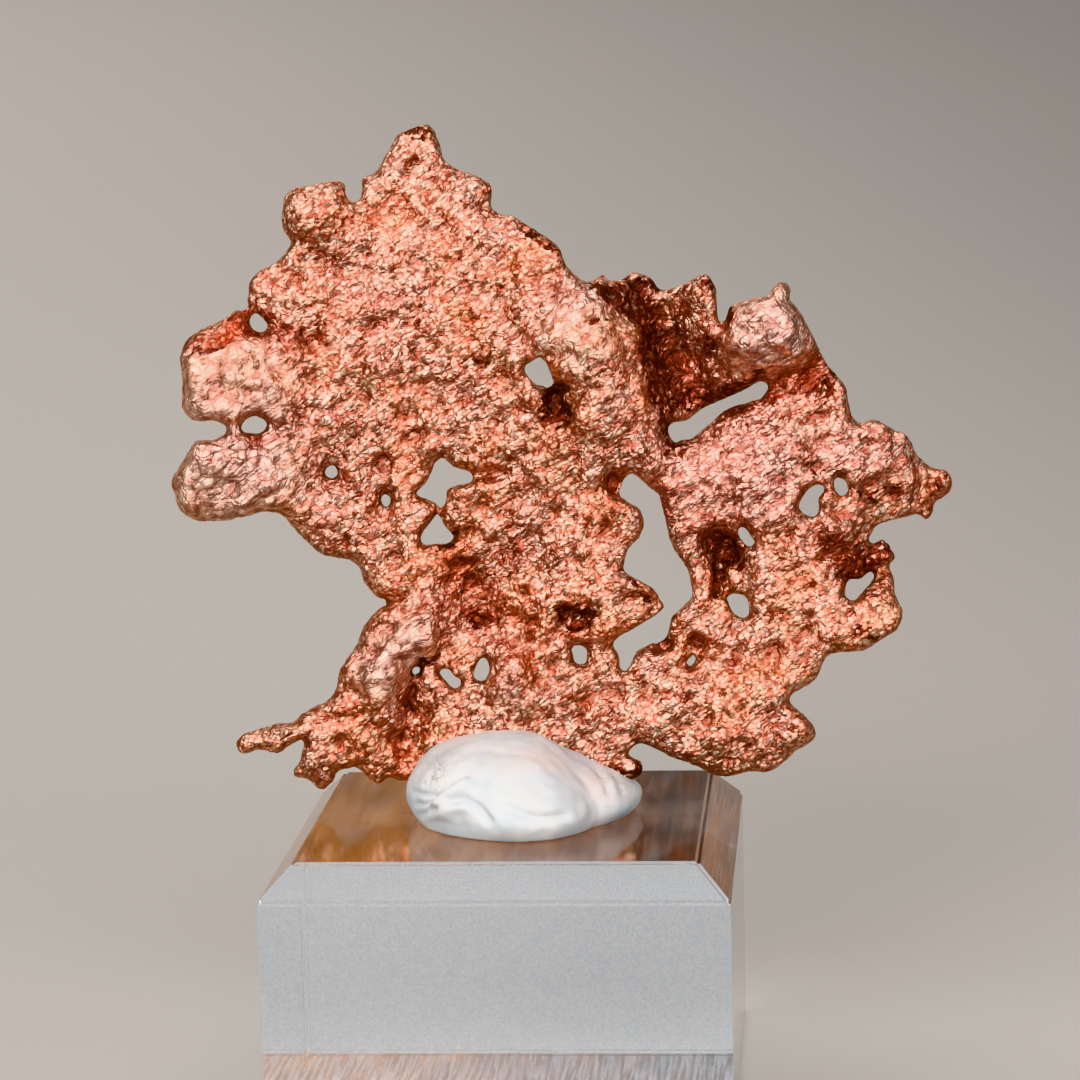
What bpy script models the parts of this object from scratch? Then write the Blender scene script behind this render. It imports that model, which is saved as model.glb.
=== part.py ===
"""Native copper nugget standing in white mineral tack on a bevelled clear acrylic block.

Metres, +Z up. The origin is the centre of the block's underside, +X is to the right of the
nugget's face, and the face looks along -Y. The nugget is a lace-like plate: its outline and the
holes through it lie in one upright plane, and its front and back swell and sink about that plane.
Everything the outline bounds is moved along straight lines to FACE_POINT, a point well in front of
the face, so that seen from there the swelling plate keeps the outline that is drawn.
"""

import math

import bmesh
import bpy
import numpy as np
from mathutils import Vector, kdtree, noise

MM = 0.001

# The acrylic block, a stock display size.
BLOCK_SIDE = 50 * MM
BLOCK_HEIGHT = 30 * MM
BLOCK_BEVEL = 3.5 * MM

GAP = 0.3 * MM  # clearance between pieces that touch

# The nugget's plane and the point that its relief is drawn towards.
PLANE_Y = 3 * MM
FACE_POINT = Vector((36.84, -393.67, 125.82)) * MM

# How thick the nugget is.
EDGE_HALF = 0.75 * MM  # half the thickness right at the outline
BODY_HALF = 2.3 * MM  # half the thickness of the plate inside its rounded edge
EDGE_ROUND = 3.0 * MM  # how far in from the outline the plate reaches its full thickness
HOLE_WIDER = 0.14 * MM  # the even mesh rounds a hole inwards by this much
THINNEST = 1.2 * MM  # what a pit leaves standing behind it
SHEET_HALF = 1.1 * MM  # half the thickness of the flat sheet that the plate is raised from

# Mesh sizes.
SHEET_VOXEL = 0.4 * MM
BODY_VOXEL = 0.42 * MM
NUGGET_TRIANGLES = 9000

# The outline, clockwise seen from the front, as (x, z) in millimetres, one stretch at a time.
UPPER_LEFT_EDGE = [(-27.6, 86.75), (-28.3, 87.6), (-27.5, 90.1), (-24.4, 92), (-22.8, 93.9)]
TOP_KNOB = [
    (-23.4, 94.5), (-23.9, 95.3), (-23.6, 99), (-21.75, 100), (-18, 100.6), (-16.75, 99.85),
    (-17, 99.3), (-16.5, 97.95), (-15.1, 98.3),
]
PEAK = [
    (-15, 99.2), (-15.05, 100.5), (-13.3, 101.5), (-10.9, 105.5), (-8.05, 106.55),
    (-6.85, 105.8), (-6.25, 102.65), (-1.05, 99.95), (-1, 97.3),
]
SHOULDER = [(-0.35, 96.7), (1.25, 96.45), (5.95, 93.4), (7.05, 90.85), (8.95, 89)]
ARM = [
    (10, 88.95), (11.3, 89.87), (11.28, 89.08), (13.3, 89.05), (14.85, 90), (16.3, 89.45),
    (17.3, 87.95), (18.1, 87.95), (22.3, 89.7), (22.85, 89.45), (23.5, 87.95), (23.85, 83.3),
]
UPPER_RIGHT_LOBE = [
    (24.25, 83.6), (25.05, 86.1), (29.1, 87.05), (30.25, 88.55), (30.8, 88.8), (31.3, 88.45),
    (31.65, 87.8), (31.3, 86.75), (33.05, 84.6), (35.4, 79.65), (37.5, 77.15), (38.35, 73.4),
]
RIGHT_KNOB = [
    (39, 72.95), (40.6, 73.5), (43.8, 71.9), (45.65, 68.95), (46.9, 67.9), (48.35, 67.75),
    (49.05, 66.35), (48.8, 65.4), (46.95, 64.35), (46.9, 63.2), (46.25, 62.25),
]
RIGHT_NOTCH = [(45.5, 63), (40.3, 61.5), (39.85, 59.4), (41.3, 60.1), (42.9, 58.05)]
LOWER_RIGHT_EDGE = [
    (41.9, 57.05), (42.55, 56.1), (42.65, 53.9), (43.45, 52.5), (43.35, 50.8), (42.9, 50.05),
    (39.45, 47.7), (35.55, 47.4), (34.95, 46.95), (33.95, 44.5), (31.15, 42.75), (30.75, 41.7),
]
LOWER_RIGHT_LOBE = [
    (31.4, 41.35), (33.6, 39.25), (33.75, 37.9), (31.7, 36.55), (30.35, 36.7), (30.45, 35.75),
    (29.1, 34.2), (23, 33.55),
]
ARCH_BY_THE_TACK = [
    (21.05, 34.6), (14.45, 37.5), (12.75, 36.15), (12.85, 35.75), (14.35, 35.35), (14.6, 34.2),
]
FOOT_IN_THE_TACK = [(14, 33.5), (10, 32.6), (-6, 32.3)]
LOWER_LEFT_TOES = [
    (-12.4, 33.1), (-14.25, 33.7), (-15.5, 32.8), (-17.8, 34.85), (-20.05, 34.4),
    (-20.3, 33.2), (-21.85, 32.2), (-23.15, 33.55), (-25, 34.05), (-23.2, 37.5),
]
FINGER = [
    (-23.4, 38), (-26.6, 36.55), (-31, 36.6), (-31.35, 37.65), (-30.4, 38.65),
    (-26.4, 39.85), (-24.6, 39.85),
]
LOWER_LEFT_EDGE = [
    (-23.75, 40.9), (-20.9, 42.1), (-19.55, 44.1), (-19.25, 45.95), (-17.4, 48.2),
    (-15.6, 51.8), (-14.55, 52.95), (-12.2, 53.9), (-12, 54.4),
]
LEFT_UNDERSIDE = [(-12.65, 54.4), (-14.8, 54.15), (-17.2, 58.1), (-21.3, 59.4), (-25.05, 63.7)]
LOWER_LEFT_LOBE = [
    (-27.35, 64), (-31.3, 63.05), (-34.4, 63), (-35.5, 63.25), (-37, 65.1), (-37.4, 67.7),
    (-34.55, 72), (-32.2, 72.1), (-30.85, 72.8),
]
UPPER_LEFT_LOBE = [
    (-31.2, 74), (-34.7, 74.35), (-35.55, 75), (-35.95, 75.9), (-35.65, 78.65), (-36, 81.25),
    (-35.5, 82.65), (-33.6, 84.3), (-29.25, 86.6), (-28.7, 86.35),
]
OUTLINE = (
    UPPER_LEFT_EDGE + TOP_KNOB + PEAK + SHOULDER + ARM + UPPER_RIGHT_LOBE + RIGHT_KNOB
    + RIGHT_NOTCH + LOWER_RIGHT_EDGE + LOWER_RIGHT_LOBE + ARCH_BY_THE_TACK + FOOT_IN_THE_TACK
    + LOWER_LEFT_TOES + FINGER + LOWER_LEFT_EDGE + LEFT_UNDERSIDE + LOWER_LEFT_LOBE
    + UPPER_LEFT_LOBE
)

# The holes right through the plate, as (x, z) in millimetres.
HOLES = {
    "below the upper left notch": [
        (-28, 85.65), (-27.6, 84.25), (-26.1, 84.25), (-25.9, 84.8), (-26.9, 86),
    ],
    "between the left lobes": [
        (-29.6, 72.9), (-28.8, 74.3), (-27.8, 74.65), (-26.4, 73.95), (-27.35, 72.75),
    ],
    "inside the lower left lobe": [(-20.35, 68.75), (-18.75, 69.3), (-18.8, 67.5), (-19.9, 67.7)],
    "left of the star": [(-14, 65.6), (-13.6, 66), (-13.1, 65.7), (-13.2, 64.1), (-13.8, 64.3)],
    "the star": [
        (-7, 70), (-6, 68.75), (-3.9, 68.1), (-3.65, 67), (-6.8, 66.2), (-6.65, 65.1),
        (-7.2, 63.15), (-7.1, 62.15), (-5.9, 61), (-6.15, 60.25), (-9.7, 60.05), (-9.3, 61.5),
        (-7.9, 63.25), (-7.9, 64.65), (-9.1, 65.4), (-10.3, 65.4),
    ],
    "beside the central bulge": [
        (4, 80.95), (5.5, 78.15), (5.3, 77.6), (3.65, 77.8), (2.35, 79.3), (2.3, 79.85),
    ],
    "the long gap": [
        (13.5, 67.75), (14.25, 67.65), (16.05, 65.9), (16.85, 65.7), (17.9, 60.35),
        (19.9, 57), (20.4, 53.85), (18, 51.7), (17.4, 49.3), (14.05, 47.75), (12.5, 45.3),
        (12.2, 47.5), (11.5, 48.25), (11.7, 49.1), (16.35, 51.75), (17.4, 52.85),
        (15.7, 55.2), (12.75, 56.8), (13.35, 59.4), (14.65, 60.5), (15.3, 62), (14.9, 63.75),
        (12.65, 65.15), (12.5, 65.7),
    ],
    "the slot under the arm": [
        (28.2, 77.8), (29.3, 77.3), (28.3, 75.95), (24.4, 74.7), (20.25, 71.3), (19.6, 71.8),
        (18.9, 71), (18.4, 71.3), (18, 73), (18.35, 73.35), (20.55, 73.75), (22.2, 75.05),
    ],
    "the right eye": [
        (35.1, 66.55), (33.45, 65.95), (32.35, 64.2), (32.3, 63.45), (33.7, 62.6),
        (34.4, 63.35), (34.3, 64.8), (35.2, 65.55),
    ],
    "beside the right eye": [(36.6, 67.4), (37.05, 67.3), (37.75, 65.7), (36.7, 64.6), (36.05, 66.45)],
    "inside the right edge": [
        (40, 56.8), (40.5, 55.85), (37.45, 52.35), (37.55, 55.85), (37.85, 56.2), (38.8, 55.6),
    ],
    "beside the deep cave": [(25.75, 61.95), (27.55, 59.65), (26.4, 59.55), (25.4, 61.4)],
    "below the deep cave": [
        (23.85, 55.05), (24.3, 54.2), (26.2, 54.05), (26.65, 51.75), (26.2, 51.4), (25.15, 51.7),
    ],
    "above the tack, right": [
        (6.95, 48.55), (8.35, 48.4), (8.3, 46.2), (6.65, 46.75), (7.2, 47.2), (6.7, 48.2),
    ],
    "above the tack, first": [(-11.2, 45.75), (-10, 46.6), (-10.15, 45.6), (-11, 45.15)],
    "above the tack, second": [
        (-8.5, 45.7), (-6.9, 46), (-6.5, 45.15), (-5.45, 44.7), (-5.6, 44.2), (-6.45, 43.4),
    ],
    "above the tack, third": [(-4.35, 45.05), (-3.4, 47.2), (-2.45, 47.1), (-2.9, 44.6)],
}

# Where the whole plate swings forwards (+) or back (-): x, z, half width, half height, degrees
# turned anticlockwise, and how far it swings, all in millimetres.
SWELLS = [
    (-33, 74, 10, 14, 0, 4.2),  # both left lobes curl forwards
    (-8, 106, 9, 7, 0, -2.2),  # the peak leans back
    (-20, 97, 5, 5, 0, 1.2),
    (8, 78, 8, 13, 8, 4.6),  # the central bulge
    (17.5, 82.5, 5, 10, 22, -6.0),  # the dark valley beside it
    (29, 83.5, 6, 6, 0, 3.2),  # upper right lobe
    (28, 76.5, 10, 3, 20, -2.2),
    (28, 66, 9, 9, 0, 1.8),
    (47, 66, 5, 6, 0, -3.2),  # the right knob turns back
    (40.5, 58.5, 4, 4, 0, -2.6),
    (41, 50, 7, 6, 30, 1.6),
    (23.5, 58, 4, 5, 0, -1.4),
    (10, 54, 8, 6, 0, 1.6),
    (-4, 54, 4.5, 6, 0, -2.2),
    (-13, 48, 9, 4, 55, 2.8),  # the lower left ridge
    (-27, 38, 6, 4, 0, 2.4),  # finger and toes
    (-11.5, 40, 2.5, 7, -8, -1.6),
    (0, 44, 5, 6, 0, 1.6),
    (24, 40, 12, 5, -10, 1.8),
    (-10, 84, 14, 9, 30, 1.4),
]

# What only the front does, in the same order: ledges (+) and pits and grooves (-) with steep sides.
FRONT_LEDGES = [
    (-31, 78.2, 6.2, 4.3, 0, 1.6),
    (-31, 67.6, 6.6, 4.2, -6, 1.5),
    (-20.2, 97, 3.2, 2.8, 10, 0.9),
    (9.5, 83.5, 5.2, 4.6, 0, 1.1),
    (11.5, 74, 4.4, 5.5, 12, 1.0),
    (15.8, 68.8, 2.4, 2.2, 0, 1.0),
    (29, 83, 3.9, 3.4, 0, 1.3),
    (36.6, 60.8, 1.7, 1.7, 0, 1.1),
    (43.9, 66.3, 0.9, 3.0, -8, 1.0),
    (-10.2, 50.6, 4.4, 1.7, 38, 1.3),
    (-14.8, 44.2, 2.6, 3.4, 0, 1.0),
    (-0.4, 45, 1.8, 3.2, -8, 1.1),
    (-13.6, 39.8, 1.5, 1.1, 0, 0.8),
    (27, 43.5, 4.0, 2.4, 0, 0.7),
    (24.5, 37, 4.6, 2.0, 0, 0.7),
    (32.2, 38.6, 1.5, 1.8, 0, 0.7),
    (5.7, 75.2, 1.8, 2.5, 0, -3.6),
    (23.8, 59.4, 2.3, 2.3, 0, -3.8),
    (23.2, 55.8, 0.8, 2.4, 0, -2.4),
    (7.3, 51.4, 2.2, 1.8, 0, -3.4),
    (12.1, 66.6, 1.5, 1.2, 30, -2.6),
    (17.0, 48.2, 1.2, 0.9, 0, -2.2),
    (20.9, 48.9, 0.9, 1.1, 0, -2.2),
    (35.8, 58.3, 1.6, 1.2, 0, -2.4),
    (34.2, 61.9, 1.0, 0.7, 0, -1.8),
    (-20.8, 83, 2.0, 1.0, -35, -1.6),
    (-2, 80.5, 1.3, 0.6, -25, -1.5),
    (-13.2, 71.5, 0.9, 0.5, 60, -1.4),
    (-1.6, 67.9, 1.9, 0.8, 12, -2.0),
    (-9.9, 102.2, 1.0, 0.9, 0, -1.1),
    (-4.6, 57.8, 1.2, 0.7, 0, -2.2),
    (-3.4, 51.4, 1.1, 1.2, 0, -2.2),
    (-6.7, 56.2, 1.0, 0.7, 0, -1.8),
    (-11.3, 43, 0.9, 3.2, -12, -1.8),
    (-12.7, 37, 1.0, 2.2, 12, -1.4),
    (2.3, 49, 0.5, 5.5, 2, -0.9),
    (-14.4, 49.6, 0.8, 4.2, -38, -0.9),
    (34, 79.5, 2.0, 4.2, -24, -1.0),
]

# Lumps on the back, as x, z, radius and how far the centre stands behind the middle, in millimetres.
BACK_LUMPS = [
    (-30, 78, 3.6, 1.6), (-32, 67, 3.4, 1.8), (-23, 87, 2.8, 1.9), (-14, 93, 4.2, 1.2),
    (-6, 99, 2.8, 1.5), (-15, 80, 4.6, 0.9), (-4, 88, 3.8, 1.3), (3, 74, 3.6, 1.6),
    (-13, 60, 2.6, 1.8), (11, 84, 3.4, 1.4), (29, 83, 3.6, 1.2), (9, 60, 4.2, 1.0),
    (26, 68, 4.2, 1.1), (38, 70, 3.2, 1.6), (31, 57, 2.8, 1.5), (39, 50.5, 2.4, 1.6),
    (-15, 47, 2.8, 1.7), (-19, 38.5, 2.6, 1.6), (0, 56, 3.2, 1.4), (14, 42.5, 3.0, 1.6),
    (25, 46, 3.6, 1.3), (29, 38, 2.8, 1.5),
]

# Rough lumps over all of the surface.
LUMP_SPACING = 3.4 * MM
LUMP_RISE = 0.8 * MM
BACK_WAVE = 9 * MM
BACK_RISE = 1.3 * MM

LUMP_ICOSPHERE = 3
LUMP_ROUGHNESS = 0.22
LUMP_FLATTENING = 0.85

# The tack: its middle, its widest outline going round as (x, y), and how high it would stand over
# each x if nothing rounded it off, all in millimetres.
TACK_MIDDLE = (1.0, 0.5)
TACK_PLAN = [
    (-11.2, 0), (-10.9, -4.2), (-9.4, -8.2), (-5.0, -12.2), (-1.0, -13.9), (2.4, -14.4),
    (5.8, -13.4), (8.6, -10.6), (10.2, -7.4), (12.4, -4.6), (13.9, -1.6), (14.5, 2.6), (12.2, 7.2),
    (7.0, 10.2), (0, 11.2), (-6.0, 9.6), (-10.0, 5.4),
]
TACK_CEILING = [(-11, 10.5), (-3, 10.1), (0, 9.6), (4, 8.8), (7, 7.7), (13, 6.2)]
TACK_ICOSPHERE = 4
TACK_SHARE_OF_FACES = 0.16
TACK_FLOOR_LEVEL = -0.42  # the height on the unit ball where the lump is pressed flat
TACK_POCKET = 0.75 * MM  # how much wider than the foot the pocket in the tack is cut
TACK_POCKET_TOP = 44 * MM  # above this the cutter is not needed
POCKET_VOXEL = 0.7 * MM
POCKET_SHARE_OF_FACES = 0.12

# Each material's linear colour and roughness.
COPPER = (0.72, 0.33, 0.20)
COPPER_ROUGHNESS = 0.42
TACK_WHITE = (0.80, 0.79, 0.77)
TACK_ROUGHNESS = 0.6
ACRYLIC = (0.95, 0.96, 0.97)
ACRYLIC_ROUGHNESS = 0.03
ACRYLIC_IOR = 1.49


def clear_scene():
    for obj in list(bpy.data.objects):
        bpy.data.objects.remove(obj, do_unlink=True)


def collection_named(name):
    collection = bpy.data.collections.new(name)
    bpy.context.scene.collection.children.link(collection)
    return collection


def material(name, colour, roughness, metallic=0.0, transmission=0.0, ior=1.45):
    made = bpy.data.materials.new(name)
    made.use_nodes = True
    shader = made.node_tree.nodes["Principled BSDF"]
    shader.inputs["Base Color"].default_value = (*colour, 1)
    shader.inputs["Roughness"].default_value = roughness
    shader.inputs["Metallic"].default_value = metallic
    shader.inputs["Transmission Weight"].default_value = transmission
    shader.inputs["IOR"].default_value = ior
    return made


def add_object(name, data, collection):
    obj = bpy.data.objects.new(name, data)
    collection.objects.link(obj)
    return obj


def evaluated_mesh(obj):
    """The object's mesh with its modifiers worked in."""
    bpy.context.view_layer.update()
    graph = bpy.context.evaluated_depsgraph_get()
    return bpy.data.meshes.new_from_object(obj.evaluated_get(graph))


def replace_by_mesh(obj, name, collection, weld=False):
    """A new object that holds what obj evaluates to. obj itself is removed."""
    mesh = evaluated_mesh(obj)
    if weld:
        form = bmesh.new()
        form.from_mesh(mesh)
        bmesh.ops.remove_doubles(form, verts=form.verts, dist=0.01 * MM)
        form.to_mesh(mesh)
        form.free()
    made = add_object(name, mesh, collection)
    made.matrix_world = obj.matrix_world.copy()
    bpy.data.objects.remove(obj, do_unlink=True)
    return made


def remeshed(obj, voxel, name, collection):
    modifier = obj.modifiers.new("even mesh", "REMESH")
    modifier.mode = "VOXEL"
    modifier.voxel_size = voxel
    return replace_by_mesh(obj, name, collection)


def flat_sheet(name, loops, half, collection):
    """The outline and its holes as one flat sheet in the XY plane."""
    curve = bpy.data.curves.new(name, "CURVE")
    curve.dimensions = "2D"
    curve.fill_mode = "BOTH"
    curve.extrude = half
    for loop in loops:
        spline = curve.splines.new("POLY")
        spline.points.add(len(loop) - 1)
        for point, (x, z) in zip(spline.points, loop):
            point.co = (x * MM, z * MM, 0, 1)
        spline.use_cyclic_u = True
    return replace_by_mesh(add_object(name, curve, collection), name, collection, weld=True)


def widened(loop):
    """A hole's points, each moved outwards by HOLE_WIDER."""
    points = np.array(loop)
    before, after = np.roll(points, 1, axis=0), np.roll(points, -1, axis=0)
    anticlockwise = np.sum(before[:, 0] * points[:, 1] - points[:, 0] * before[:, 1]) > 0
    outwards = np.zeros_like(points)
    for edge in (points - before, after - points):
        normal = np.stack([edge[:, 1], -edge[:, 0]], axis=1)
        outwards += normal / np.linalg.norm(normal, axis=1, keepdims=True)
    outwards /= np.linalg.norm(outwards, axis=1, keepdims=True) * (1 if anticlockwise else -1)
    return [tuple(point) for point in points + outwards * HOLE_WIDER / MM]


def outline_tree(loops, spacing=0.3 * MM):
    """A search tree of points along every loop, for the distance to the nearest edge."""
    points = []
    for loop in loops:
        corners = [Vector((x, z, 0)) * MM for x, z in loop]
        for a, b in zip(corners, corners[1:] + corners[:1]):
            steps = max(1, math.ceil((b - a).length / spacing))
            points += [a.lerp(b, i / steps) for i in range(steps)]
    tree = kdtree.KDTree(len(points))
    for i, point in enumerate(points):
        tree.insert(point, i)
    tree.balance()
    return tree


def hills(x, z, forms, power):
    """The sum of the forms at each (x, z), in metres. A higher power gives steeper sides."""
    total = np.zeros_like(x)
    for across, up, half_width, half_height, turn, rise in forms:
        cosine, sine = math.cos(math.radians(turn)), math.sin(math.radians(turn))
        dx, dz = x / MM - across, z / MM - up
        along = (dx * cosine + dz * sine) / half_width
        over = (dz * cosine - dx * sine) / half_height
        total += rise * MM * np.exp(-((along**2 + over**2) ** power))
    return total


def noise_at(points, spacing, seed):
    """Smooth noise between -1 and 1 with lumps about `spacing` apart."""
    shift = Vector((seed * 7.3, seed * 3.1, seed * 5.7))
    return np.array([noise.noise(Vector(p) / spacing + shift) for p in points])


def on_lines_to_face_point(x, z, forward):
    """Points at (x, z) in the nugget's plane, moved `forward` on their lines to FACE_POINT."""
    share = forward / (PLANE_Y - FACE_POINT.y)
    return np.stack(
        [x + (FACE_POINT.x - x) * share, PLANE_Y - forward, z + (FACE_POINT.z - z) * share],
        axis=1,
    )


def vertex_values(mesh, name):
    """Every vertex's co or normal, one row each."""
    values = np.empty(len(mesh.vertices) * 3, np.float32)
    mesh.vertices.foreach_get(name, values)
    return values.reshape(-1, 3).astype(np.float64)


def move_vertices(mesh, points):
    mesh.vertices.foreach_set("co", points.astype(np.float32).ravel())
    mesh.update()


def raise_plate(mesh, loops):
    """Turns the flat sheet's mesh into the standing plate with its rounded edge and forms."""
    flat = vertex_values(mesh, "co")
    x, z = flat[:, 0], flat[:, 1]
    to_front = np.clip(flat[:, 2] / SHEET_HALF, -1, 1)
    tree = outline_tree(loops)
    inside = np.array([tree.find(Vector((a, b, 0)))[2] for a, b in zip(x, z)])
    rounded = np.sqrt(1 - (1 - np.clip(inside / EDGE_ROUND, 0, 1)) ** 2)
    half = EDGE_HALF + (BODY_HALF - EDGE_HALF) * rounded
    middle = hills(x, z, SWELLS, 1)
    plane = np.stack([x, z, np.zeros_like(x)], axis=1)
    back = middle - half + BACK_RISE * rounded * noise_at(plane, BACK_WAVE, 3)
    front = middle + half + hills(x, z, FRONT_LEDGES, 2) * rounded
    front = np.maximum(front, back + np.minimum(THINNEST, 2 * half))
    forward = back + (to_front + 1) / 2 * (front - back)
    move_vertices(mesh, on_lines_to_face_point(x, z, forward))


def lump(name, x, z, radius, behind, collection):
    """A rough ball that is fused to the back of the plate."""
    form = bmesh.new()
    bmesh.ops.create_icosphere(form, subdivisions=LUMP_ICOSPHERE, radius=radius * MM)
    middle = hills(np.array([x * MM]), np.array([z * MM]), SWELLS, 1)[0]
    centre = on_lines_to_face_point(
        np.array([x * MM]), np.array([z * MM]), np.array([middle - behind * MM])
    )[0]
    for vert in form.verts:
        vert.co *= 1 + LUMP_ROUGHNESS * noise.noise(vert.co / LUMP_SPACING + Vector((x, z, 0)))
        vert.co.y *= LUMP_FLATTENING
        vert.co += Vector(centre)
    mesh = bpy.data.meshes.new(name)
    form.to_mesh(mesh)
    form.free()
    return add_object(name, mesh, collection)


def joined(objects, name, collection):
    """The objects' meshes in one object. Meshes that overlap are fused by the next remesh."""
    form = bmesh.new()
    for obj in objects:
        form.from_mesh(obj.data)
    mesh = bpy.data.meshes.new(name)
    form.to_mesh(mesh)
    form.free()
    for obj in objects:
        bpy.data.objects.remove(obj, do_unlink=True)
    return add_object(name, mesh, collection)


def roughen(mesh):
    """Raises lumps along the surface's own direction, least at the sides that set the outline."""
    points, normals = vertex_values(mesh, "co"), vertex_values(mesh, "normal")
    rise = LUMP_RISE * noise_at(points, LUMP_SPACING, 1)
    rise += 0.5 * LUMP_RISE * noise_at(points, LUMP_SPACING / 2, 2)
    towards = np.array(FACE_POINT) - points
    towards /= np.linalg.norm(towards, axis=1, keepdims=True)
    facing = np.abs((normals * towards).sum(axis=1))
    move_vertices(mesh, points + normals * (rise * facing)[:, None])


def make_nugget(collection):
    loops = [OUTLINE, *(widened(hole) for hole in HOLES.values())]
    sheet = flat_sheet("flat sheet", loops, SHEET_HALF, collection)
    sheet = remeshed(sheet, SHEET_VOXEL, "even sheet", collection)
    raise_plate(sheet.data, loops)
    lumps = [lump("back lump", *values, collection) for values in BACK_LUMPS]
    body = joined([sheet, *lumps], "plate and lumps", collection)
    nugget = remeshed(body, BODY_VOXEL, "copper_nugget", collection)
    roughen(nugget.data)
    nugget.data.shade_smooth()
    decimate = nugget.modifiers.new("fewer faces", "DECIMATE")
    decimate.ratio = NUGGET_TRIANGLES / (2 * len(nugget.data.polygons))
    nugget.data.materials.append(material("native copper", COPPER, COPPER_ROUGHNESS, metallic=1.0))
    return nugget


def tack_reach(heading):
    """How far the widest outline is from the tack's middle in this direction, in millimetres."""
    arms = np.array(TACK_PLAN) - np.array(TACK_MIDDLE)
    headings = np.arctan2(arms[:, 1], arms[:, 0])
    return np.interp(heading, headings, np.hypot(*arms.T), period=math.tau)


def tack_surface(direction):
    """Where a direction on the unit ball meets the lump of tack."""
    along, across, up = direction
    reach = tack_reach(math.atan2(across, along))
    x = TACK_MIDDLE[0] + reach * along
    y = TACK_MIDDLE[1] + reach * across
    ceiling = np.interp(x, *zip(*TACK_CEILING))
    risen = max(0.0, (up - TACK_FLOOR_LEVEL) / (1 - TACK_FLOOR_LEVEL))
    return Vector((x * MM, y * MM, BLOCK_HEIGHT + GAP + ceiling * MM * risen))


def make_pocket_cutter(nugget, collection):
    """The nugget's foot, grown on every side, to cut the pocket that the tack holds it by."""
    cutter = add_object("foot cutter", evaluated_mesh(nugget), collection)
    form = bmesh.new()
    form.from_mesh(cutter.data)
    everything = form.verts[:] + form.edges[:] + form.faces[:]
    cut = bmesh.ops.bisect_plane(
        form, geom=everything, plane_co=(0, 0, TACK_POCKET_TOP), plane_no=(0, 0, 1), clear_outer=True
    )
    rim = [item for item in cut["geom_cut"] if isinstance(item, bmesh.types.BMEdge)]
    bmesh.ops.holes_fill(form, edges=rim)
    bmesh.ops.triangulate(form, faces=form.faces)
    form.to_mesh(cutter.data)
    form.free()
    grow = cutter.modifiers.new("grow", "DISPLACE")
    grow.mid_level = 0
    grow.strength = TACK_POCKET
    cutter = remeshed(cutter, POCKET_VOXEL, "foot cutter", collection)
    fewer = cutter.modifiers.new("fewer faces", "DECIMATE")
    fewer.ratio = POCKET_SHARE_OF_FACES
    cutter = replace_by_mesh(cutter, "foot cutter", collection)
    cutter.hide_render = True
    cutter.display_type = "WIRE"
    return cutter


def make_tack(nugget, collection, cutters):
    form = bmesh.new()
    bmesh.ops.create_icosphere(form, subdivisions=TACK_ICOSPHERE, radius=1)
    for vert in form.verts:
        vert.co = tack_surface(vert.co)
    mesh = bpy.data.meshes.new("mineral_tack")
    form.to_mesh(mesh)
    form.free()
    tack = add_object("mineral_tack", mesh, collection)
    tack.data.shade_smooth()
    fewer = tack.modifiers.new("fewer faces", "DECIMATE")
    fewer.ratio = TACK_SHARE_OF_FACES
    pocket = tack.modifiers.new("pocket for the foot", "BOOLEAN")
    pocket.operation = "DIFFERENCE"
    pocket.object = make_pocket_cutter(nugget, cutters)
    tack.data.materials.append(material("white mineral tack", TACK_WHITE, TACK_ROUGHNESS))
    return tack


def make_block(collection):
    form = bmesh.new()
    bmesh.ops.create_cube(form, size=1)
    bmesh.ops.scale(form, vec=(BLOCK_SIDE, BLOCK_SIDE, BLOCK_HEIGHT), verts=form.verts)
    bmesh.ops.translate(form, vec=(0, 0, BLOCK_HEIGHT / 2), verts=form.verts)
    top = [e for e in form.edges if all(v.co.z > BLOCK_HEIGHT / 2 for v in e.verts)]
    bmesh.ops.bevel(form, geom=top, offset=BLOCK_BEVEL, segments=1, affect="EDGES")
    mesh = bpy.data.meshes.new("acrylic_block")
    form.to_mesh(mesh)
    form.free()
    block = add_object("acrylic_block", mesh, collection)
    clear = material("clear acrylic", ACRYLIC, ACRYLIC_ROUGHNESS, transmission=1.0, ior=ACRYLIC_IOR)
    block.data.materials.append(clear)
    return block


def main():
    clear_scene()
    pieces = collection_named("native_copper_specimen")
    cutters = collection_named("cutters")
    nugget = make_nugget(pieces)
    make_tack(nugget, pieces, cutters)
    make_block(pieces)


main()
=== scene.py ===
"""The finished look of a native copper nugget that stands in white mineral tack on a clear block.

Metres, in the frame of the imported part: the origin is the centre of the block's underside, +Z is
up and the nugget's face looks along -Y. The forms are listed in millimetres as (x, z) on the
nugget's own plane, and each is carried along straight lines to FACE_POINT, as in the part.
"""

import math

import bmesh
import bpy
import numpy as np
from mathutils import Matrix, Vector, kdtree, noise

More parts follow.
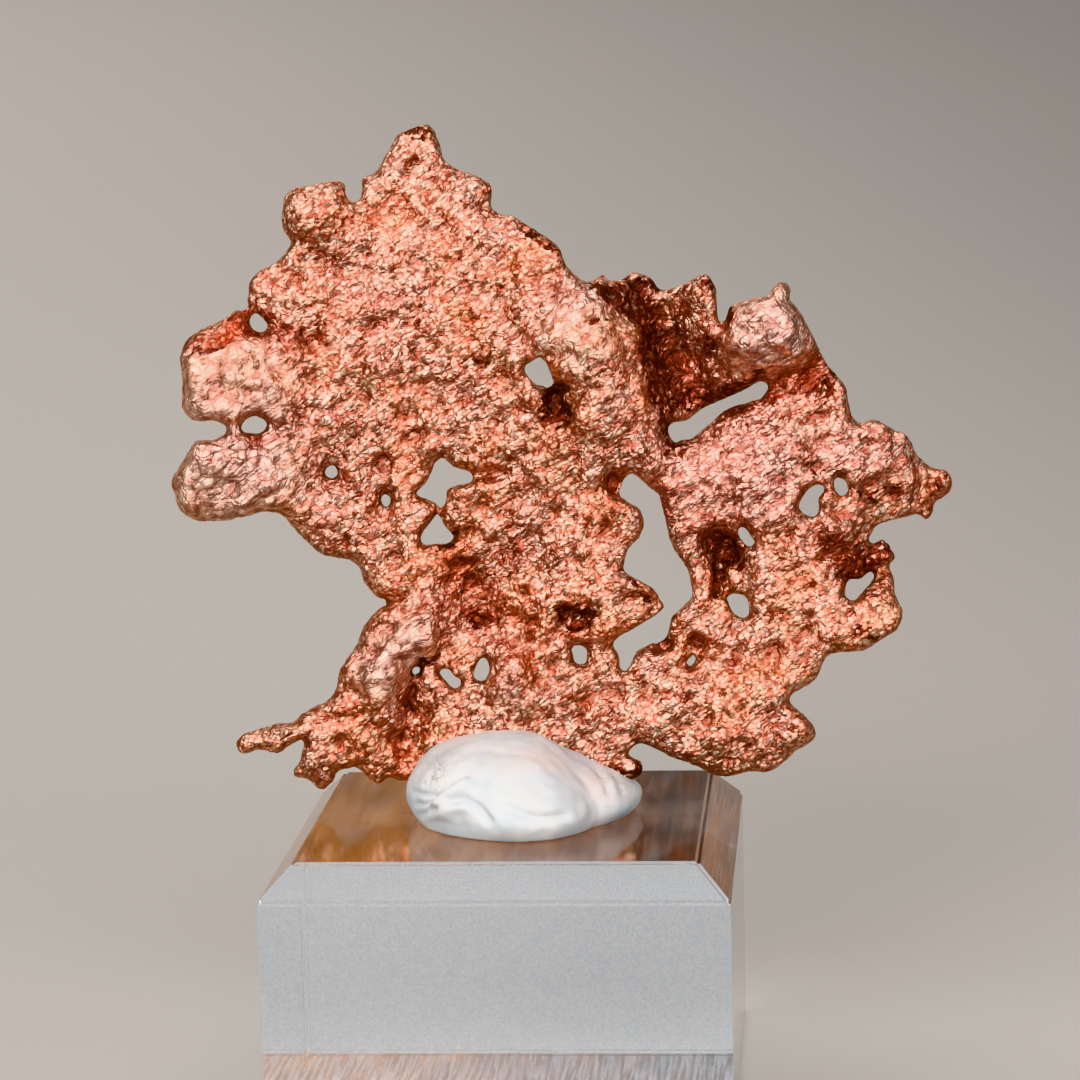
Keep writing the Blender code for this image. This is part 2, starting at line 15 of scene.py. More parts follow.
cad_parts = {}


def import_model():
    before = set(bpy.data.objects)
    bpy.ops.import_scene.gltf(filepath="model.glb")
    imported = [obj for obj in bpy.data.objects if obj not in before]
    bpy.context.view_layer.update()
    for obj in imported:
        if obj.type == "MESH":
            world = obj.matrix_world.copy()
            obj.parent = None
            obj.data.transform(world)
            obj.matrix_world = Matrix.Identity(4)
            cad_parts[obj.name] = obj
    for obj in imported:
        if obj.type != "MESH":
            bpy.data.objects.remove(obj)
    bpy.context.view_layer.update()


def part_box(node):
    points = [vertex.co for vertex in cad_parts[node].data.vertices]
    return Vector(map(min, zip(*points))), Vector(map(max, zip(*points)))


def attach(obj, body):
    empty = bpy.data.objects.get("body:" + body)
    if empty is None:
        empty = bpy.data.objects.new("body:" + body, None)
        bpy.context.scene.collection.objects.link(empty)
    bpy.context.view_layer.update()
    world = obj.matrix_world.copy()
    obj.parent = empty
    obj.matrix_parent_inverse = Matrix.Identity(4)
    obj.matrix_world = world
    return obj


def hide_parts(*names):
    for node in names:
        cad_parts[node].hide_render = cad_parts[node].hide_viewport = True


MM = 0.001
BODY = "root"

# The camera stands at FACE_POINT.
FACE_POINT = Vector((36.84, -393.67, 125.82)) * MM
CAMERA_YAW = 0.0836
CAMERA_PITCH = 0.1628
CAMERA_ROLL = -0.0238
CAMERA_LENS = 121.3

# The nugget's plane and thickness, and the mesh that they are built on.
PLANE_Y = 3 * MM
EDGE_HALF = 0.75 * MM  # half the thickness right at the outline
BODY_HALF = 2.3 * MM  # half the thickness of the plate inside its rounded edge
EDGE_ROUND = 1.3 * MM  # how far in from the outline the plate reaches its full thickness
HOLE_WIDER = 0.1 * MM  # the even mesh rounds a hole inwards by this much
THINNEST = 1.2 * MM  # what a pit leaves standing behind it
SHEET_HALF = 1.1 * MM
SHEET_VOXEL = 0.33 * MM
BODY_VOXEL = 0.385 * MM  # keeps the nugget under 200,000 triangles

# The outline, clockwise seen from the front, one stretch at a time.
UPPER_LEFT_EDGE = [
    (-27.6, 86.75), (-28.3, 87.6), (-27.95, 88.3), (-27.95, 89.4), (-27.5, 90.1), (-26.45, 91),
    (-25.1, 91.45), (-24.4, 92), (-22.8, 93.9),
]
TOP_KNOB = [
    (-23.4, 94.5), (-23.9, 95.3), (-24.05, 96.5), (-23.6, 99), (-22.85, 99.65), (-21.75, 100),
    (-20.25, 100.05), (-18, 100.6), (-17.1, 100.35), (-16.75, 99.85), (-17, 99.3), (-16.5, 97.95),
    (-15.1, 98.3),
]
PEAK = [
    (-15, 99.2), (-15.05, 100.5), (-14.65, 101), (-13.85, 101), (-13.3, 101.5), (-10.9, 105.5),
    (-8.05, 106.55), (-7.4, 106.35), (-6.85, 105.8), (-6.1, 103.4), (-6.25, 102.65), (-3.95, 101.2),
    (-2.85, 101), (-1.05, 99.95), (-0.75, 99.3), (-1, 97.3),
]
SHOULDER = [
    (-0.35, 96.7), (0.25, 96.4), (1.25, 96.45), (5.95, 93.4), (6.55, 92.65), (7.05, 90.85),
    (8.95, 89),
]
ARM = [
    (10, 88.95), (11.3, 89.87), (11.28, 89.08), (13.3, 89.05), (14.3, 90), (14.85, 90),
    (16.3, 89.45), (17.3, 87.95), (18.1, 87.95), (19.2, 88.2), (22.3, 89.7), (22.85, 89.45),
    (23.5, 87.95), (23.65, 83.95), (23.85, 83.3),
]
UPPER_RIGHT_LOBE = [
    (24.25, 83.6), (25.05, 86.1), (28, 87.1), (29.1, 87.05), (30.25, 88.55), (30.8, 88.8),
    (31.3, 88.45), (31.65, 87.8), (31.3, 86.75), (32.35, 85.7), (33.05, 84.6), (35.4, 79.65),
    (37.5, 77.15), (38, 74.25), (38.35, 73.4),
]
RIGHT_KNOB = [
    (39, 72.95), (40.6, 73.5), (42.95, 72.1), (43.8, 71.9), (44.5, 71.15), (45, 69.7),
    (45.65, 68.95), (46.9, 67.9), (48.35, 67.75), (48.9, 67.2), (49.05, 66.35), (48.8, 65.4),
    (48.1, 64.75), (46.95, 64.35), (46.9, 63.2), (46.65, 62.55), (46.25, 62.25),
]
RIGHT_NOTCH = [
    (45.85, 62.55), (45.5, 63), (41, 61.9), (40.3, 61.5), (39.75, 60.15), (39.85, 59.4),
    (40.3, 59.4), (41.3, 60.1), (41.85, 59.8), (42.9, 58.05), (42.1, 57.5),
]
LOWER_RIGHT_EDGE = [
    (41.9, 57.05), (42.55, 56.1), (42.65, 53.9), (43.45, 52.5), (43.55, 51.55), (43.35, 50.8),
    (42.9, 50.05), (39.45, 47.7), (35.55, 47.4), (34.95, 46.95), (33.95, 44.5), (31.15, 42.75),
    (30.75, 41.7),
]
LOWER_RIGHT_LOBE = [
    (31.4, 41.35), (32.5, 40.5), (33.6, 39.25), (33.85, 38.6), (33.75, 37.9), (32.65, 36.9),
    (31.7, 36.55), (30.35, 36.7), (30.45, 35.75), (29.8, 34.65), (29.1, 34.2), (28.2, 33.95),
    (26.5, 34.1), (24.1, 33.5), (23, 33.55), (21.9, 33.85),
]
ARCH_BY_THE_TACK = [
    (21.05, 34.6), (17.65, 35.8), (14.45, 37.5), (13.05, 36.75), (12.75, 36.15), (12.85, 35.75),
    (14.35, 35.35), (14.6, 34.2),
]
FOOT_IN_THE_TACK = [
    (14, 33.5), (12.5, 33), (10, 32.6), (3, 32.2), (-6, 32.3), (-11, 33), (-11.85, 33.4),
]
LOWER_LEFT_TOES = [
    (-12.4, 33.1), (-14.25, 33.7), (-15, 32.85), (-15.5, 32.8), (-16.5, 33.6), (-16.85, 34.25),
    (-17.8, 34.85), (-20.05, 34.4), (-20.3, 33.2), (-20.95, 32.8), (-21.3, 32.2), (-21.85, 32.2),
    (-22.35, 32.5), (-23.15, 33.55), (-24.65, 33.7), (-25, 34.05), (-24.95, 34.5), (-24.35, 34.9),
    (-24, 35.6), (-23.7, 37), (-23.2, 37.5),
]
FINGER = [
    (-23.4, 38), (-23.85, 38.1), (-26.6, 36.55), (-28.45, 36.85), (-29.4, 36.85), (-29.85, 36.45),
    (-30.4, 36.35), (-31, 36.6), (-31.35, 37.65), (-30.4, 38.65), (-26.4, 39.85), (-24.6, 39.85),
]
LOWER_LEFT_EDGE = [
    (-24.15, 40.35), (-23.75, 40.9), (-21.65, 42), (-20.9, 42.1), (-19.9, 43.3), (-19.55, 44.1),
    (-19.25, 45.95), (-17.4, 48.2), (-16.5, 50.45), (-15.6, 51.8), (-14.55, 52.95), (-12.2, 53.9),
    (-12, 54.4),
]
LEFT_UNDERSIDE = [
    (-12.65, 54.4), (-14.05, 54), (-14.8, 54.15), (-16.2, 55.9), (-16.6, 57.45), (-17.2, 58.1),
    (-18.1, 58.6), (-20.35, 58.95), (-21.3, 59.4), (-23.75, 61.9), (-25.05, 63.7),
]
LOWER_LEFT_LOBE = [
    (-26.05, 63.95), (-27.35, 64), (-31.3, 63.05), (-34.4, 63), (-35.5, 63.25), (-36.5, 64.15),
    (-37, 65.1), (-36.95, 66.2), (-37.4, 66.75), (-37.4, 67.7), (-34.55, 72), (-32.2, 72.1),
    (-30.85, 72.8), (-30.85, 73.45),
]
UPPER_LEFT_LOBE = [
    (-31.2, 74), (-32.15, 74.3), (-34.7, 74.35), (-35.55, 75), (-35.95, 75.9), (-35.65, 78.65),
    (-36, 81.25), (-35.5, 82.65), (-34.75, 83.6), (-33.6, 84.3), (-31, 85.4), (-29.25, 86.6),
    (-28.7, 86.35),
]
OUTLINE = (
    UPPER_LEFT_EDGE + TOP_KNOB + PEAK + SHOULDER + ARM + UPPER_RIGHT_LOBE + RIGHT_KNOB
    + RIGHT_NOTCH + LOWER_RIGHT_EDGE + LOWER_RIGHT_LOBE + ARCH_BY_THE_TACK + FOOT_IN_THE_TACK
    + LOWER_LEFT_TOES + FINGER + LOWER_LEFT_EDGE + LEFT_UNDERSIDE + LOWER_LEFT_LOBE
    + UPPER_LEFT_LOBE
)

# The holes right through the plate.
HOLES = {
    "below the upper left notch": [
        (-28, 85.65), (-28, 84.95), (-27.6, 84.25), (-26.75, 83.95), (-26.1, 84.25), (-25.9, 84.8),
        (-26.9, 86), (-27.5, 86.1),
    ],
    "between the left lobes": [
        (-29.6, 72.9), (-29.55, 73.55), (-28.8, 74.3), (-27.8, 74.65), (-26.95, 74.4),
        (-26.4, 73.95), (-26.45, 73.3), (-27.35, 72.75),
    ],
    "inside the lower left lobe": [(-20.35, 68.75), (-18.75, 69.3), (-18.8, 67.5), (-19.9, 67.7)],
    "above the left slit": [(-14.05, 69), (-14, 69.9), (-13.6, 70), (-13.4, 69.5), (-13.5, 68.9)],
    "the left slit": [
        (-14, 65.6), (-13.6, 66), (-13.1, 65.7), (-12.9, 64.8), (-13.2, 64.1), (-13.8, 64.3),
    ],
    "beside the central bulge": [
        (4, 80.95), (4.45, 80.7), (5.5, 78.15), (5.3, 77.6), (4.45, 77.5), (3.65, 77.8),
        (2.8, 78.55), (2.35, 79.3), (2.3, 79.85),
    ],
    "the star": [
        (-7, 70), (-6, 68.75), (-3.9, 68.1), (-3.55, 67.7), (-3.65, 67), (-6, 66.65), (-6.8, 66.2),
        (-6.65, 65.1), (-7.05, 64.55), (-7.45, 63.15), (-7.1, 62.15), (-5.9, 61), (-6.15, 60.25),
        (-9.7, 60.05), (-9.8, 60.55), (-9.3, 61.5), (-7.9, 63.25), (-7.7, 64.65), (-9.1, 65.4),
        (-10.3, 65.4), (-9.95, 66.05), (-8.95, 66.85), (-8.25, 68), (-7.85, 69.25),
    ],
    "the long gap": [
        (13.5, 67.75), (14.25, 67.65), (16.05, 65.9), (16.85, 65.7), (17.9, 60.35), (18.45, 59.05),
        (19.9, 57), (20.4, 53.85), (18, 51.7), (17.4, 49.3), (16.65, 48.85), (15.75, 48.75),
        (14.05, 47.75), (12.9, 45.6), (12.5, 45.3), (12.2, 45.6), (12.2, 47.5), (11.5, 48.25),
        (11.7, 49.1), (16.35, 51.75), (17.4, 52.85), (16.4, 54.55), (15.7, 55.2), (12.75, 56.8),
        (13.35, 59.4), (14.65, 60.5), (15.3, 62), (14.9, 63.75), (12.65, 65.15), (12.5, 65.7),
    ],
    "the slot under the arm": [
        (28.2, 77.8), (29.15, 77.65), (29.3, 77.3), (28.3, 75.95), (25.3, 75.15), (24.4, 74.7),
        (20.25, 71.3), (19.6, 71.8), (18.9, 71), (18.4, 71.3), (18, 73), (18.35, 73.35),
        (19.65, 73.4), (20.55, 73.75), (22.2, 75.05), (26.6, 76.85),
    ],
    "the right eye": [
        (35.1, 66.55), (33.45, 65.95), (32.35, 64.2), (32.3, 63.45), (33.7, 62.6), (34.2, 62.8),
        (34.4, 63.35), (34.3, 64.8), (35.2, 65.55),
    ],
    "beside the right eye": [
        (36.6, 67.4), (37.05, 67.3), (37.75, 65.7), (37.45, 65.05), (36.9, 64.95), (36.7, 64.6),
        (36.05, 66.45),
    ],
    "inside the right edge": [
        (40, 56.8), (40.4, 56.4), (40.5, 55.85), (37.45, 52.35), (37.5, 53.65), (37.25, 54.2),
        (37.55, 55.85), (37.85, 56.2), (38.25, 55.7), (38.8, 55.6), (39.3, 55.85),
    ],
    "beside the deep cave": [
        (25.75, 61.95), (26.2, 61.75), (27.55, 59.65), (27.1, 59.4), (26.4, 59.55), (25.95, 60.1),
        (25.4, 61.4),
    ],
    "above the tack, right": [
        (6.95, 48.55), (8.35, 48.4), (8.6, 47.85), (8.3, 47.4), (8.6, 46.8), (8.3, 46.2),
        (6.65, 46.75), (7.2, 47.2), (6.7, 48.2),
    ],
    "at the foot of the long gap": [
        (20.4, 47.5), (20.8, 47.45), (20.7, 46.8), (20.2, 46.05), (19.55, 45.95), (19.45, 46.35),
    ],
    "below the deep cave": [
        (23.85, 55.05), (24.3, 54.2), (26.2, 54.05), (26.5, 53.6), (26.65, 51.75), (26.2, 51.4),
        (25.15, 51.7), (23.85, 54.3),
    ],
    "the dark loop": [(14.55, 88.45), (14.95, 88.85), (15.35, 88.45), (14.95, 88.05)],
    "above the tack, first": [
        (-11.2, 45.75), (-11, 46.1), (-10, 46.6), (-9.9, 46.2), (-10.55, 45.2), (-11, 45.15),
    ],
    "above the tack, second": [
        (-8.5, 45.7), (-8, 45.95), (-6.9, 46), (-6.5, 45.15), (-5.45, 44.7), (-5.6, 44.2),
        (-6.45, 43.4), (-7.4, 44.75),
    ],
    "above the tack, third": [
        (-4.35, 45.05), (-3.4, 47.2), (-2.95, 47.35), (-2.45, 47.1), (-2.6, 45.15), (-2.9, 44.6),
        (-3.4, 44.55),
    ],
    "above the left underside": [(-13.15, 58.25), (-12.75, 58.75), (-12.35, 58.35), (-12.6, 57.7)],
}

# Where the whole plate swings forwards (+) or back (-): x, z, half width, half height, degrees
# turned anticlockwise, and how far it swings, all in millimetres.
SWELLS = [
    (-33, 74, 10, 14, 0, 4.2),  # both left lobes curl forwards
    (-8, 106, 9, 7, 0, -2.2),  # the peak leans back
    (-20, 97, 5, 5, 0, 1.2),
    (8.5, 78, 9, 13, 8, 3.8),  # the central bulge
    (18.6, 81.5, 3.8, 9, 22, -5.0),  # the dark valley beside it
    (29, 83.5, 6, 6, 0, 3.2),  # upper right lobe
    (28, 76.5, 10, 3, 20, -2.2),
    (28, 66, 9, 9, 0, 1.8),
    (47, 66, 5, 6, 0, -3.2),  # the right knob turns back
    (40.5, 58.5, 4, 4, 0, -2.6),
    (41, 50, 7, 6, 30, 1.6),
    (23.5, 58, 4, 5, 0, -1.4),
    (10, 54, 8, 6, 0, 1.6),
    (-4, 54, 4.5, 6, 0, -2.2),
    (-13, 48, 9, 4, 55, 1.9),  # the lower left ridge
    (-27, 38, 6, 4, 0, 2.4),  # finger and toes
    (-11.5, 40, 2.5, 7, -8, -1.6),
    (0, 44, 5, 6, 0, 1.6),
    (24, 40, 12, 5, -10, 1.8),
    (-10, 84, 14, 9, 30, 1.4),
]

# What only the front does, in the same order: ledges (+) and pits and grooves (-) with steep sides.
FRONT_LEDGES = [
    (-32, 78, 9.5, 5.4, 0, 1.2), (-32, 67.4, 9.5, 5.2, -6, 1.1), (-20.2, 97, 3.2, 2.8, 10, 0.9),
    (9.5, 83.5, 5.2, 4.6, 0, 1.1), (12, 78, 4.6, 8.5, 12, 1.3), (15.8, 68.8, 2.4, 2.2, 0, 1),
    (29, 83.2, 5.2, 4.6, 0, 1.2), (36.6, 60.8, 1.7, 1.7, 0, 1.1), (43.9, 66.3, 0.9, 3, -8, 1),
    (-10.2, 50.6, 4.4, 1.7, 38, 1.3), (-14.8, 44.2, 2.6, 3.4, 0, 1),
    (-0.4, 45, 1.8, 3.2, -8, 1.1), (-13.6, 39.8, 1.5, 1.1, 0, 0.8), (27, 43.5, 4, 2.4, 0, 0.7),
    (24.5, 37, 4.6, 2, 0, 0.7), (32.2, 38.6, 1.5, 1.8, 0, 0.7), (5.7, 75.4, 1.7, 2.6, 0, -3),
    (23.8, 59.4, 2.4, 1.9, -15, -3), (23.2, 55.8, 0.8, 2.4, 0, -2.4),
    (7.3, 51.4, 2.3, 1.3, 20, -1.8), (12.1, 66.6, 1.5, 1.2, 30, -2.6),
    (17, 48.2, 1.2, 0.9, 0, -2.2), (20.9, 48.9, 0.9, 1.1, 0, -2.2),
    (35.8, 58.3, 1.8, 0.8, 15, -1.2), (34.2, 61.9, 1.2, 0.5, -10, -0.8),
    (-20.8, 83, 2, 0.8, -35, -0.6), (-2, 80.5, 1.3, 0.6, -25, -1.5),
    (-13.2, 71.5, 0.9, 0.4, 60, -0.8), (-1.6, 67.9, 1.9, 0.8, 12, -2),
    (-9.9, 102.2, 1, 0.9, 0, -1.1), (-4.6, 57.8, 1.8, 0.5, 25, -1),
    (-3.2, 51.6, 1.7, 0.6, -20, -0.9), (-6.7, 56.2, 1.2, 0.5, 50, -1),
    (-11.3, 43, 0.6, 2.6, -12, -0.8), (-12.7, 37, 0.8, 1.8, 12, -1), (2.3, 49, 0.5, 5.5, 2, -0.9),
    (-14.4, 49.6, 0.6, 4, -38, -0.6), (34, 79.5, 2, 4.2, -24, -1),
]

# Lumps on the back, as x, z, radius and how far the centre stands behind the middle, in millimetres.
BACK_LUMPS = [
    (-30, 78, 3.6, 1.6), (-32, 67, 3.4, 1.8), (-23, 87, 2.8, 1.9), (-14, 93, 4.2, 1.2),
    (-6, 99, 2.8, 1.5), (-15, 80, 4.6, 0.9), (-4, 88, 3.8, 1.3), (3, 74, 3.6, 1.6),
    (-13, 60, 2.6, 1.8), (11, 84, 3.4, 1.4), (29, 83, 3.6, 1.2), (9, 60, 4.2, 1.0),
    (26, 68, 4.2, 1.1), (38, 70, 3.2, 1.6), (31, 57, 2.8, 1.5), (39, 50.5, 2.4, 1.6),
    (-15, 47, 2.8, 1.7), (-19, 38.5, 2.6, 1.6), (0, 56, 3.2, 1.4), (14, 42.5, 3.0, 1.6),
    (25, 46, 3.6, 1.3), (29, 38, 2.8, 1.5),
]

# Rough lumps over all of the surface.
LUMP_SPACING = 3.4 * MM
LUMP_RISE = 0.8 * MM
LUMP_ICOSPHERE = 4
LUMP_ROUGHNESS = 0.22
LUMP_FLATTENING = 0.85
BACK_WAVE = 9 * MM
BACK_RISE = 1.3 * MM

# The hammered grain: how far apart its bumps are and how high they stand.
FLOW_TURN = math.radians(33)  # the grain of the main plate runs up to the right
FLOW_STRETCH = 2.2
KNUCKLE_SIZE = 1.5 * MM
KNUCKLE_RISE = 0.26 * MM
CREASE_STEEPNESS = 4
PEBBLE_SIZE = 0.85 * MM
PEBBLE_RISE = 0.18 * MM
PEBBLE_TOP = 1.15  # a pebble's height at its middle
PEBBLE_DOME = 0.75  # and how much lower it is one spacing away
PEBBLE_STEEPNESS = 2.2
LOBE_KNUCKLE_SIZE = 1.7 * KNUCKLE_SIZE
LOBE_KNUCKLE_RISE = 1.4 * KNUCKLE_RISE
LOBE_PEBBLE_SIZE = 1.6 * PEBBLE_SIZE
LOBE_PEBBLE_RISE = 1.6 * PEBBLE_RISE
CRUMB_SIZE = 0.6 * MM
CRUMB_RISE = 0.1 * MM
EDGE_GRAIN = 0.35  # the share of the grain's rise that is left on the outline itself
BEND_SIZE = 2.6 * MM  # how far apart the bends in the grain are
BEND_REACH = 0.5 * MM
HOLLOWS = [(6, 0.1 * MM), (30, 0.3 * MM)]  # rounds of smoothing, and the depth that counts in full
BACK_FROM = -0.2  # a vertex that faces further back than this is clean copper
RAGGED_SIZE = 2.4 * MM  # how far apart the bends of a pit's or a dark place's edge are
RAGGED_REACH = 0.9 * MM  # and how far each bend strays
RIM_SHADE_WIDTH = 0.5 * MM  # painted shade along every edge, in the oxide's colour

# Where the grain is coarser than elsewhere, as x, z, half width, half height, turn, share.
COARSE_PLACES = [
    (-31, 77.5, 7, 6, 0, 0.85), (-31, 67.5, 8, 6, 0, 1), (29, 83, 5, 5, 0, 0.8),
    (-13.5, 47, 3.4, 6, -45, 0.9), (9, 84, 5, 4.5, 0, 0.45),
]

# Where the copper is painted near black, in the same order: cuprite, and painted shade in the deep
# pits, the dark valley and on ledges turned from the light.
DARK_PLACES = [
    (5.6, 75.2, 1.9, 2.8, 0, 1), (23.6, 59.5, 2.3, 1.6, -10, 1), (24.9, 57.6, 1.4, 1.2, 0, 0.8),
    (23, 55.6, 0.8, 2.4, 0, 0.85), (7.2, 51.6, 2.5, 2, 0, 1), (11.8, 88.1, 2.6, 0.9, -8, 0.9),
    (14.6, 86.2, 2.2, 1.6, -25, 1), (17.2, 82.4, 1.6, 3.2, 15, 1), (18.1, 77.4, 1.6, 3.6, 0, 1),
    (21, 75.9, 2.8, 1, 12, 1), (25.4, 77.4, 3.4, 0.8, 25, 1), (18, 72.4, 0.9, 2.4, 10, 0.85),
    (19.4, 70, 0.8, 1, 0, 0.9), (22.9, 81.7, 0.6, 1.7, -15, 0.8), (16.8, 88.8, 3.4, 0.8, 0, 0.9),
    (22.6, 88.3, 1.7, 0.8, 35, 0.8), (24.7, 85.4, 0.6, 2.6, -12, 0.8),
    (15.4, 80.6, 0.6, 5.5, 12, 0.6), (10.2, 84.9, 1.6, 0.35, 15, 0.8),
    (28.5, 76.6, 5.5, 1, 15, 0.45), (-4.6, 57.2, 3, 2.8, 30, 0.55),
    (-3.2, 51.6, 2.4, 1.3, -20, 0.75), (-6.6, 60.6, 2.6, 0.8, 40, 0.7),
    (0.4, 60.6, 1, 3.4, 10, 0.4), (-11.4, 42.6, 0.7, 3, -12, 0.65), (-9.4, 47, 2.8, 0.6, 38, 0.7),
    (35.2, 60, 2.4, 1.8, 0, 0.6), (37.4, 56.6, 2.4, 1.4, 20, 0.7),
    (40.6, 58.3, 2.6, 1.6, 10, 0.9), (39, 49.4, 2.8, 0.9, 10, 0.6),
    (34.4, 68.2, 3.4, 0.9, -12, 0.5), (41.2, 65.4, 3, 0.8, 14, 0.8), (47.6, 66.2, 2.2, 2, 0, 0.5),
    (36.4, 79, 0.9, 5.2, -27, 0.9), (14.6, 54.4, 2.6, 0.7, -42, 0.9),
    (17, 48.4, 1.4, 0.9, 0, 0.8), (-8.3, 105.6, 2.3, 1, 0, 0.85), (-1.6, 99.2, 1.4, 2.6, 30, 0.5),
    (4.4, 93.6, 3.6, 0.8, -34, 0.7), (11.8, 33.9, 3.6, 1.2, 0, 1),
    (-23.3, 84.4, 3.2, 0.8, -22, 0.55), (-33, 82.2, 3.4, 0.6, 12, 0.6),
    (-17.6, 95.6, 2.2, 0.4, 50, 0.6), (-2.2, 80.6, 1.3, 0.6, -25, 0.9),
]

# Where it is smooth and rust red, in the same order; on the upper left lobe's top ledge, in the
# recess beside it and on the step below the upper right lobe the rust red is also painted shade.
RUST_AND_SHADE_PLACES = [
    (-29.8, 84.8, 3.2, 1.3, 35, 0.9), (-31.4, 83.4, 5, 1.2, 12, 0.8),
    (-24.5, 83.6, 3.4, 2.2, -20, 0.6), (-27.6, 72.6, 1.3, 2.4, 0, 0.8),
    (28.5, 76.4, 6.5, 1.9, 17, 0.8), (20.5, 79, 2.2, 4.5, 25, 0.7), (-4.2, 55.6, 4, 5.6, 15, 0.7),
    (0.6, 60.5, 1.6, 4.2, 10, 0.6), (-15.5, 49.4, 0.9, 4.6, -42, 0.4),
    (-20.5, 45.6, 2.4, 1, 30, 0.3), (35.8, 59.6, 3.2, 3.4, 0, 0.5),
    (39.5, 56.6, 3.6, 2.6, 20, 0.5), (24, 61.5, 3.6, 2, 0, 0.6), (8, 49.6, 3.4, 2, 0, 0.6),
    (17.4, 64.8, 1.2, 3.6, 8, 0.6), (34.8, 80.6, 1.6, 4.2, -26, 0.5),
    (-11.6, 41, 1.4, 5.2, -10, 0.5), (2.3, 51, 0.8, 4.5, 0, 0.5), (46.5, 65, 3, 2.6, 0, 0.4),
]

# Where the copper is a soft pink, in the same order.
PINK_PLACES = [
    (29, 83, 5, 5, 0, 1), (8, 86, 4, 4, 0, 0.6), (-14, 88, 4, 3, 0, 0.5), (26, 68, 10, 8, 0, 0.9),
    (40, 70, 4, 3, 0, 0.6), (-30, 72, 8, 10, 0, 0.8), (-0.3, 45, 2, 4, 0, 0.8),
    (-12.5, 48, 3, 6, -45, 0.7),
]

# The tack: its middle, its widest outline going round as (x, y), and how high it would stand over
# each x if nothing rounded it off.
TACK_MIDDLE = (1.0, 0.5)
TACK_PLAN = [
    (-11.2, 0), (-10.9, -4.2), (-9.4, -8.2), (-5.0, -12.2), (-1.0, -13.9), (2.4, -14.4),
    (5.8, -13.4), (8.6, -10.6), (10.2, -7.4), (12.4, -4.6), (13.9, -1.6), (14.5, 2.6), (12.2, 7.2),
    (7.0, 10.2), (0, 11.2), (-6.0, 9.6), (-10.0, 5.4),
]
TACK_CEILING = [(-11, 10.5), (-3, 10.1), (0, 9.6), (4, 8.8), (7, 7.7), (13, 6.2)]
TACK_FLOOR_LEVEL = -0.42  # the height on the unit ball where the lump is pressed flat
TACK_ICOSPHERE = 6
TACK_LUMP_SIZE = 6 * MM
TACK_LUMP_RISE = 0.5 * MM
TACK_LIFT = 0.05 * MM
TACK_FOOT = 1.5 * MM  # nothing on the tack swells fully below this height over the block
TACK_FRONT_GAIN = 1.6  # how soon the creases are at their full depth, going round from a side
TACK_CREASE_GAIN = 1.7

# The tack's creases, as the line it runs along, half its width and how deep it is.
TACK_CREASES = [
    ([(-11.0, 28.9), (-9.8, 29.6), (-8.6, 30.1)], 0.35, 0.45),
    ([(-11.2, 30.4), (-10.2, 30.5), (-9.2, 30.9)], 0.3, 0.35),
    ([(-11.3, 31.9), (-10.2, 31.6), (-9.0, 31.4)], 0.3, 0.3),
    ([(-7.0, 30.8), (-5.7, 31.1), (-4.3, 30.2), (-3.0, 28.5)], 0.45, 0.5),
    ([(-8.8, 31.2), (-7.2, 32.4), (-5.6, 33.5)], 0.4, 0.5),
    ([(-0.8, 30.1), (1.0, 29.2), (2.9, 28.7), (5.6, 29.1)], 0.7, 0.35),
    ([(9.4, 34.6), (10.2, 33.4), (10.6, 31.9)], 0.4, 0.2),
    ([(11.4, 34.0), (11.9, 32.9), (12.1, 31.8)], 0.4, 0.16),
    ([(-9.9, 36.0), (-9.2, 34.8), (-9.1, 33.6)], 0.35, 0.3),
    ([(-8.9, 36.4), (-8.2, 35.2), (-8.0, 33.9)], 0.3, 0.3),
]
# Folds that stand up beside the creases.
TACK_FOLDS = [
    ([(-8.6, 30.7), (-7.3, 31.6), (-5.4, 32.8)], 0.7, 0.55),
    ([(-9.9, 29.0), (-7.4, 29.9), (-5.4, 30.3)], 0.8, 0.3),
    ([(10.1, 32.6), (11.2, 33.2), (12.3, 32.7)], 0.7, 0.2),
]
# Dirty patches, and the painted pink light that the copper throws on the tack, as x, z, half width,
# half height, turn and share.
TACK_DIRT_PLACES = [
    (-9.0, 34.2, 1.9, 2.8, 0, 1.0), (10.0, 34.0, 1.2, 1.0, -30, 0.9), (12.7, 32.4, 1.2, 0.8, 0, 0.9),
]
TACK_COPPER_BOUNCE_PLACES = [(9.4, 33.0, 2.0, 2.2, 0, 0.5), (4.0, 36.0, 3.5, 2.0, 0, 0.35)]

# Colours, as sRGB.
COPPER_CREAM = "#FFE0C8"
COPPER_PEACH = "#FACAAC"
COPPER_ROSE = "#F2AC92"
COPPER_SALMON = "#D0846A"
COPPER_ORANGE = "#FAD2AC"
COPPER_PINK = "#F8CCC6"
COPPER_GRAZING = "#FFDCC4"
RUST_AND_SHADE_RED = "#A04028"
OXIDE_AND_SHADE_BROWN = "#702E22"
CUPRITE_AND_SHADE_DARK = "#4A2018"
TACK_COOL = "#90969A"
TACK_WARM = "#A8A5A2"
TACK_COPPER_BOUNCE = "#C4ACA8"
TACK_CREASE = "#989DA2"
TACK_DIRT = "#7C7972"
ACRYLIC_CLEAN = ("#EEF5FF", "#F2F9FF")
ACRYLIC_DUSTY = ("#D4E0F2", "#F4FCFF")
# The brown painted on the underside for the tabletop seen through the block, darkest where the
# painted shadow falls.
SEEN_TABLE_SHADOW = "#2C1403"
SEEN_TABLE_BROWN = "#70401A"
SEEN_TABLE_TAN = "#96622C"
SAW_PALE = "#E8E4DE"
PAPER_LIGHT = "#948F8A"
PAPER_SHADE = "#6A6663"

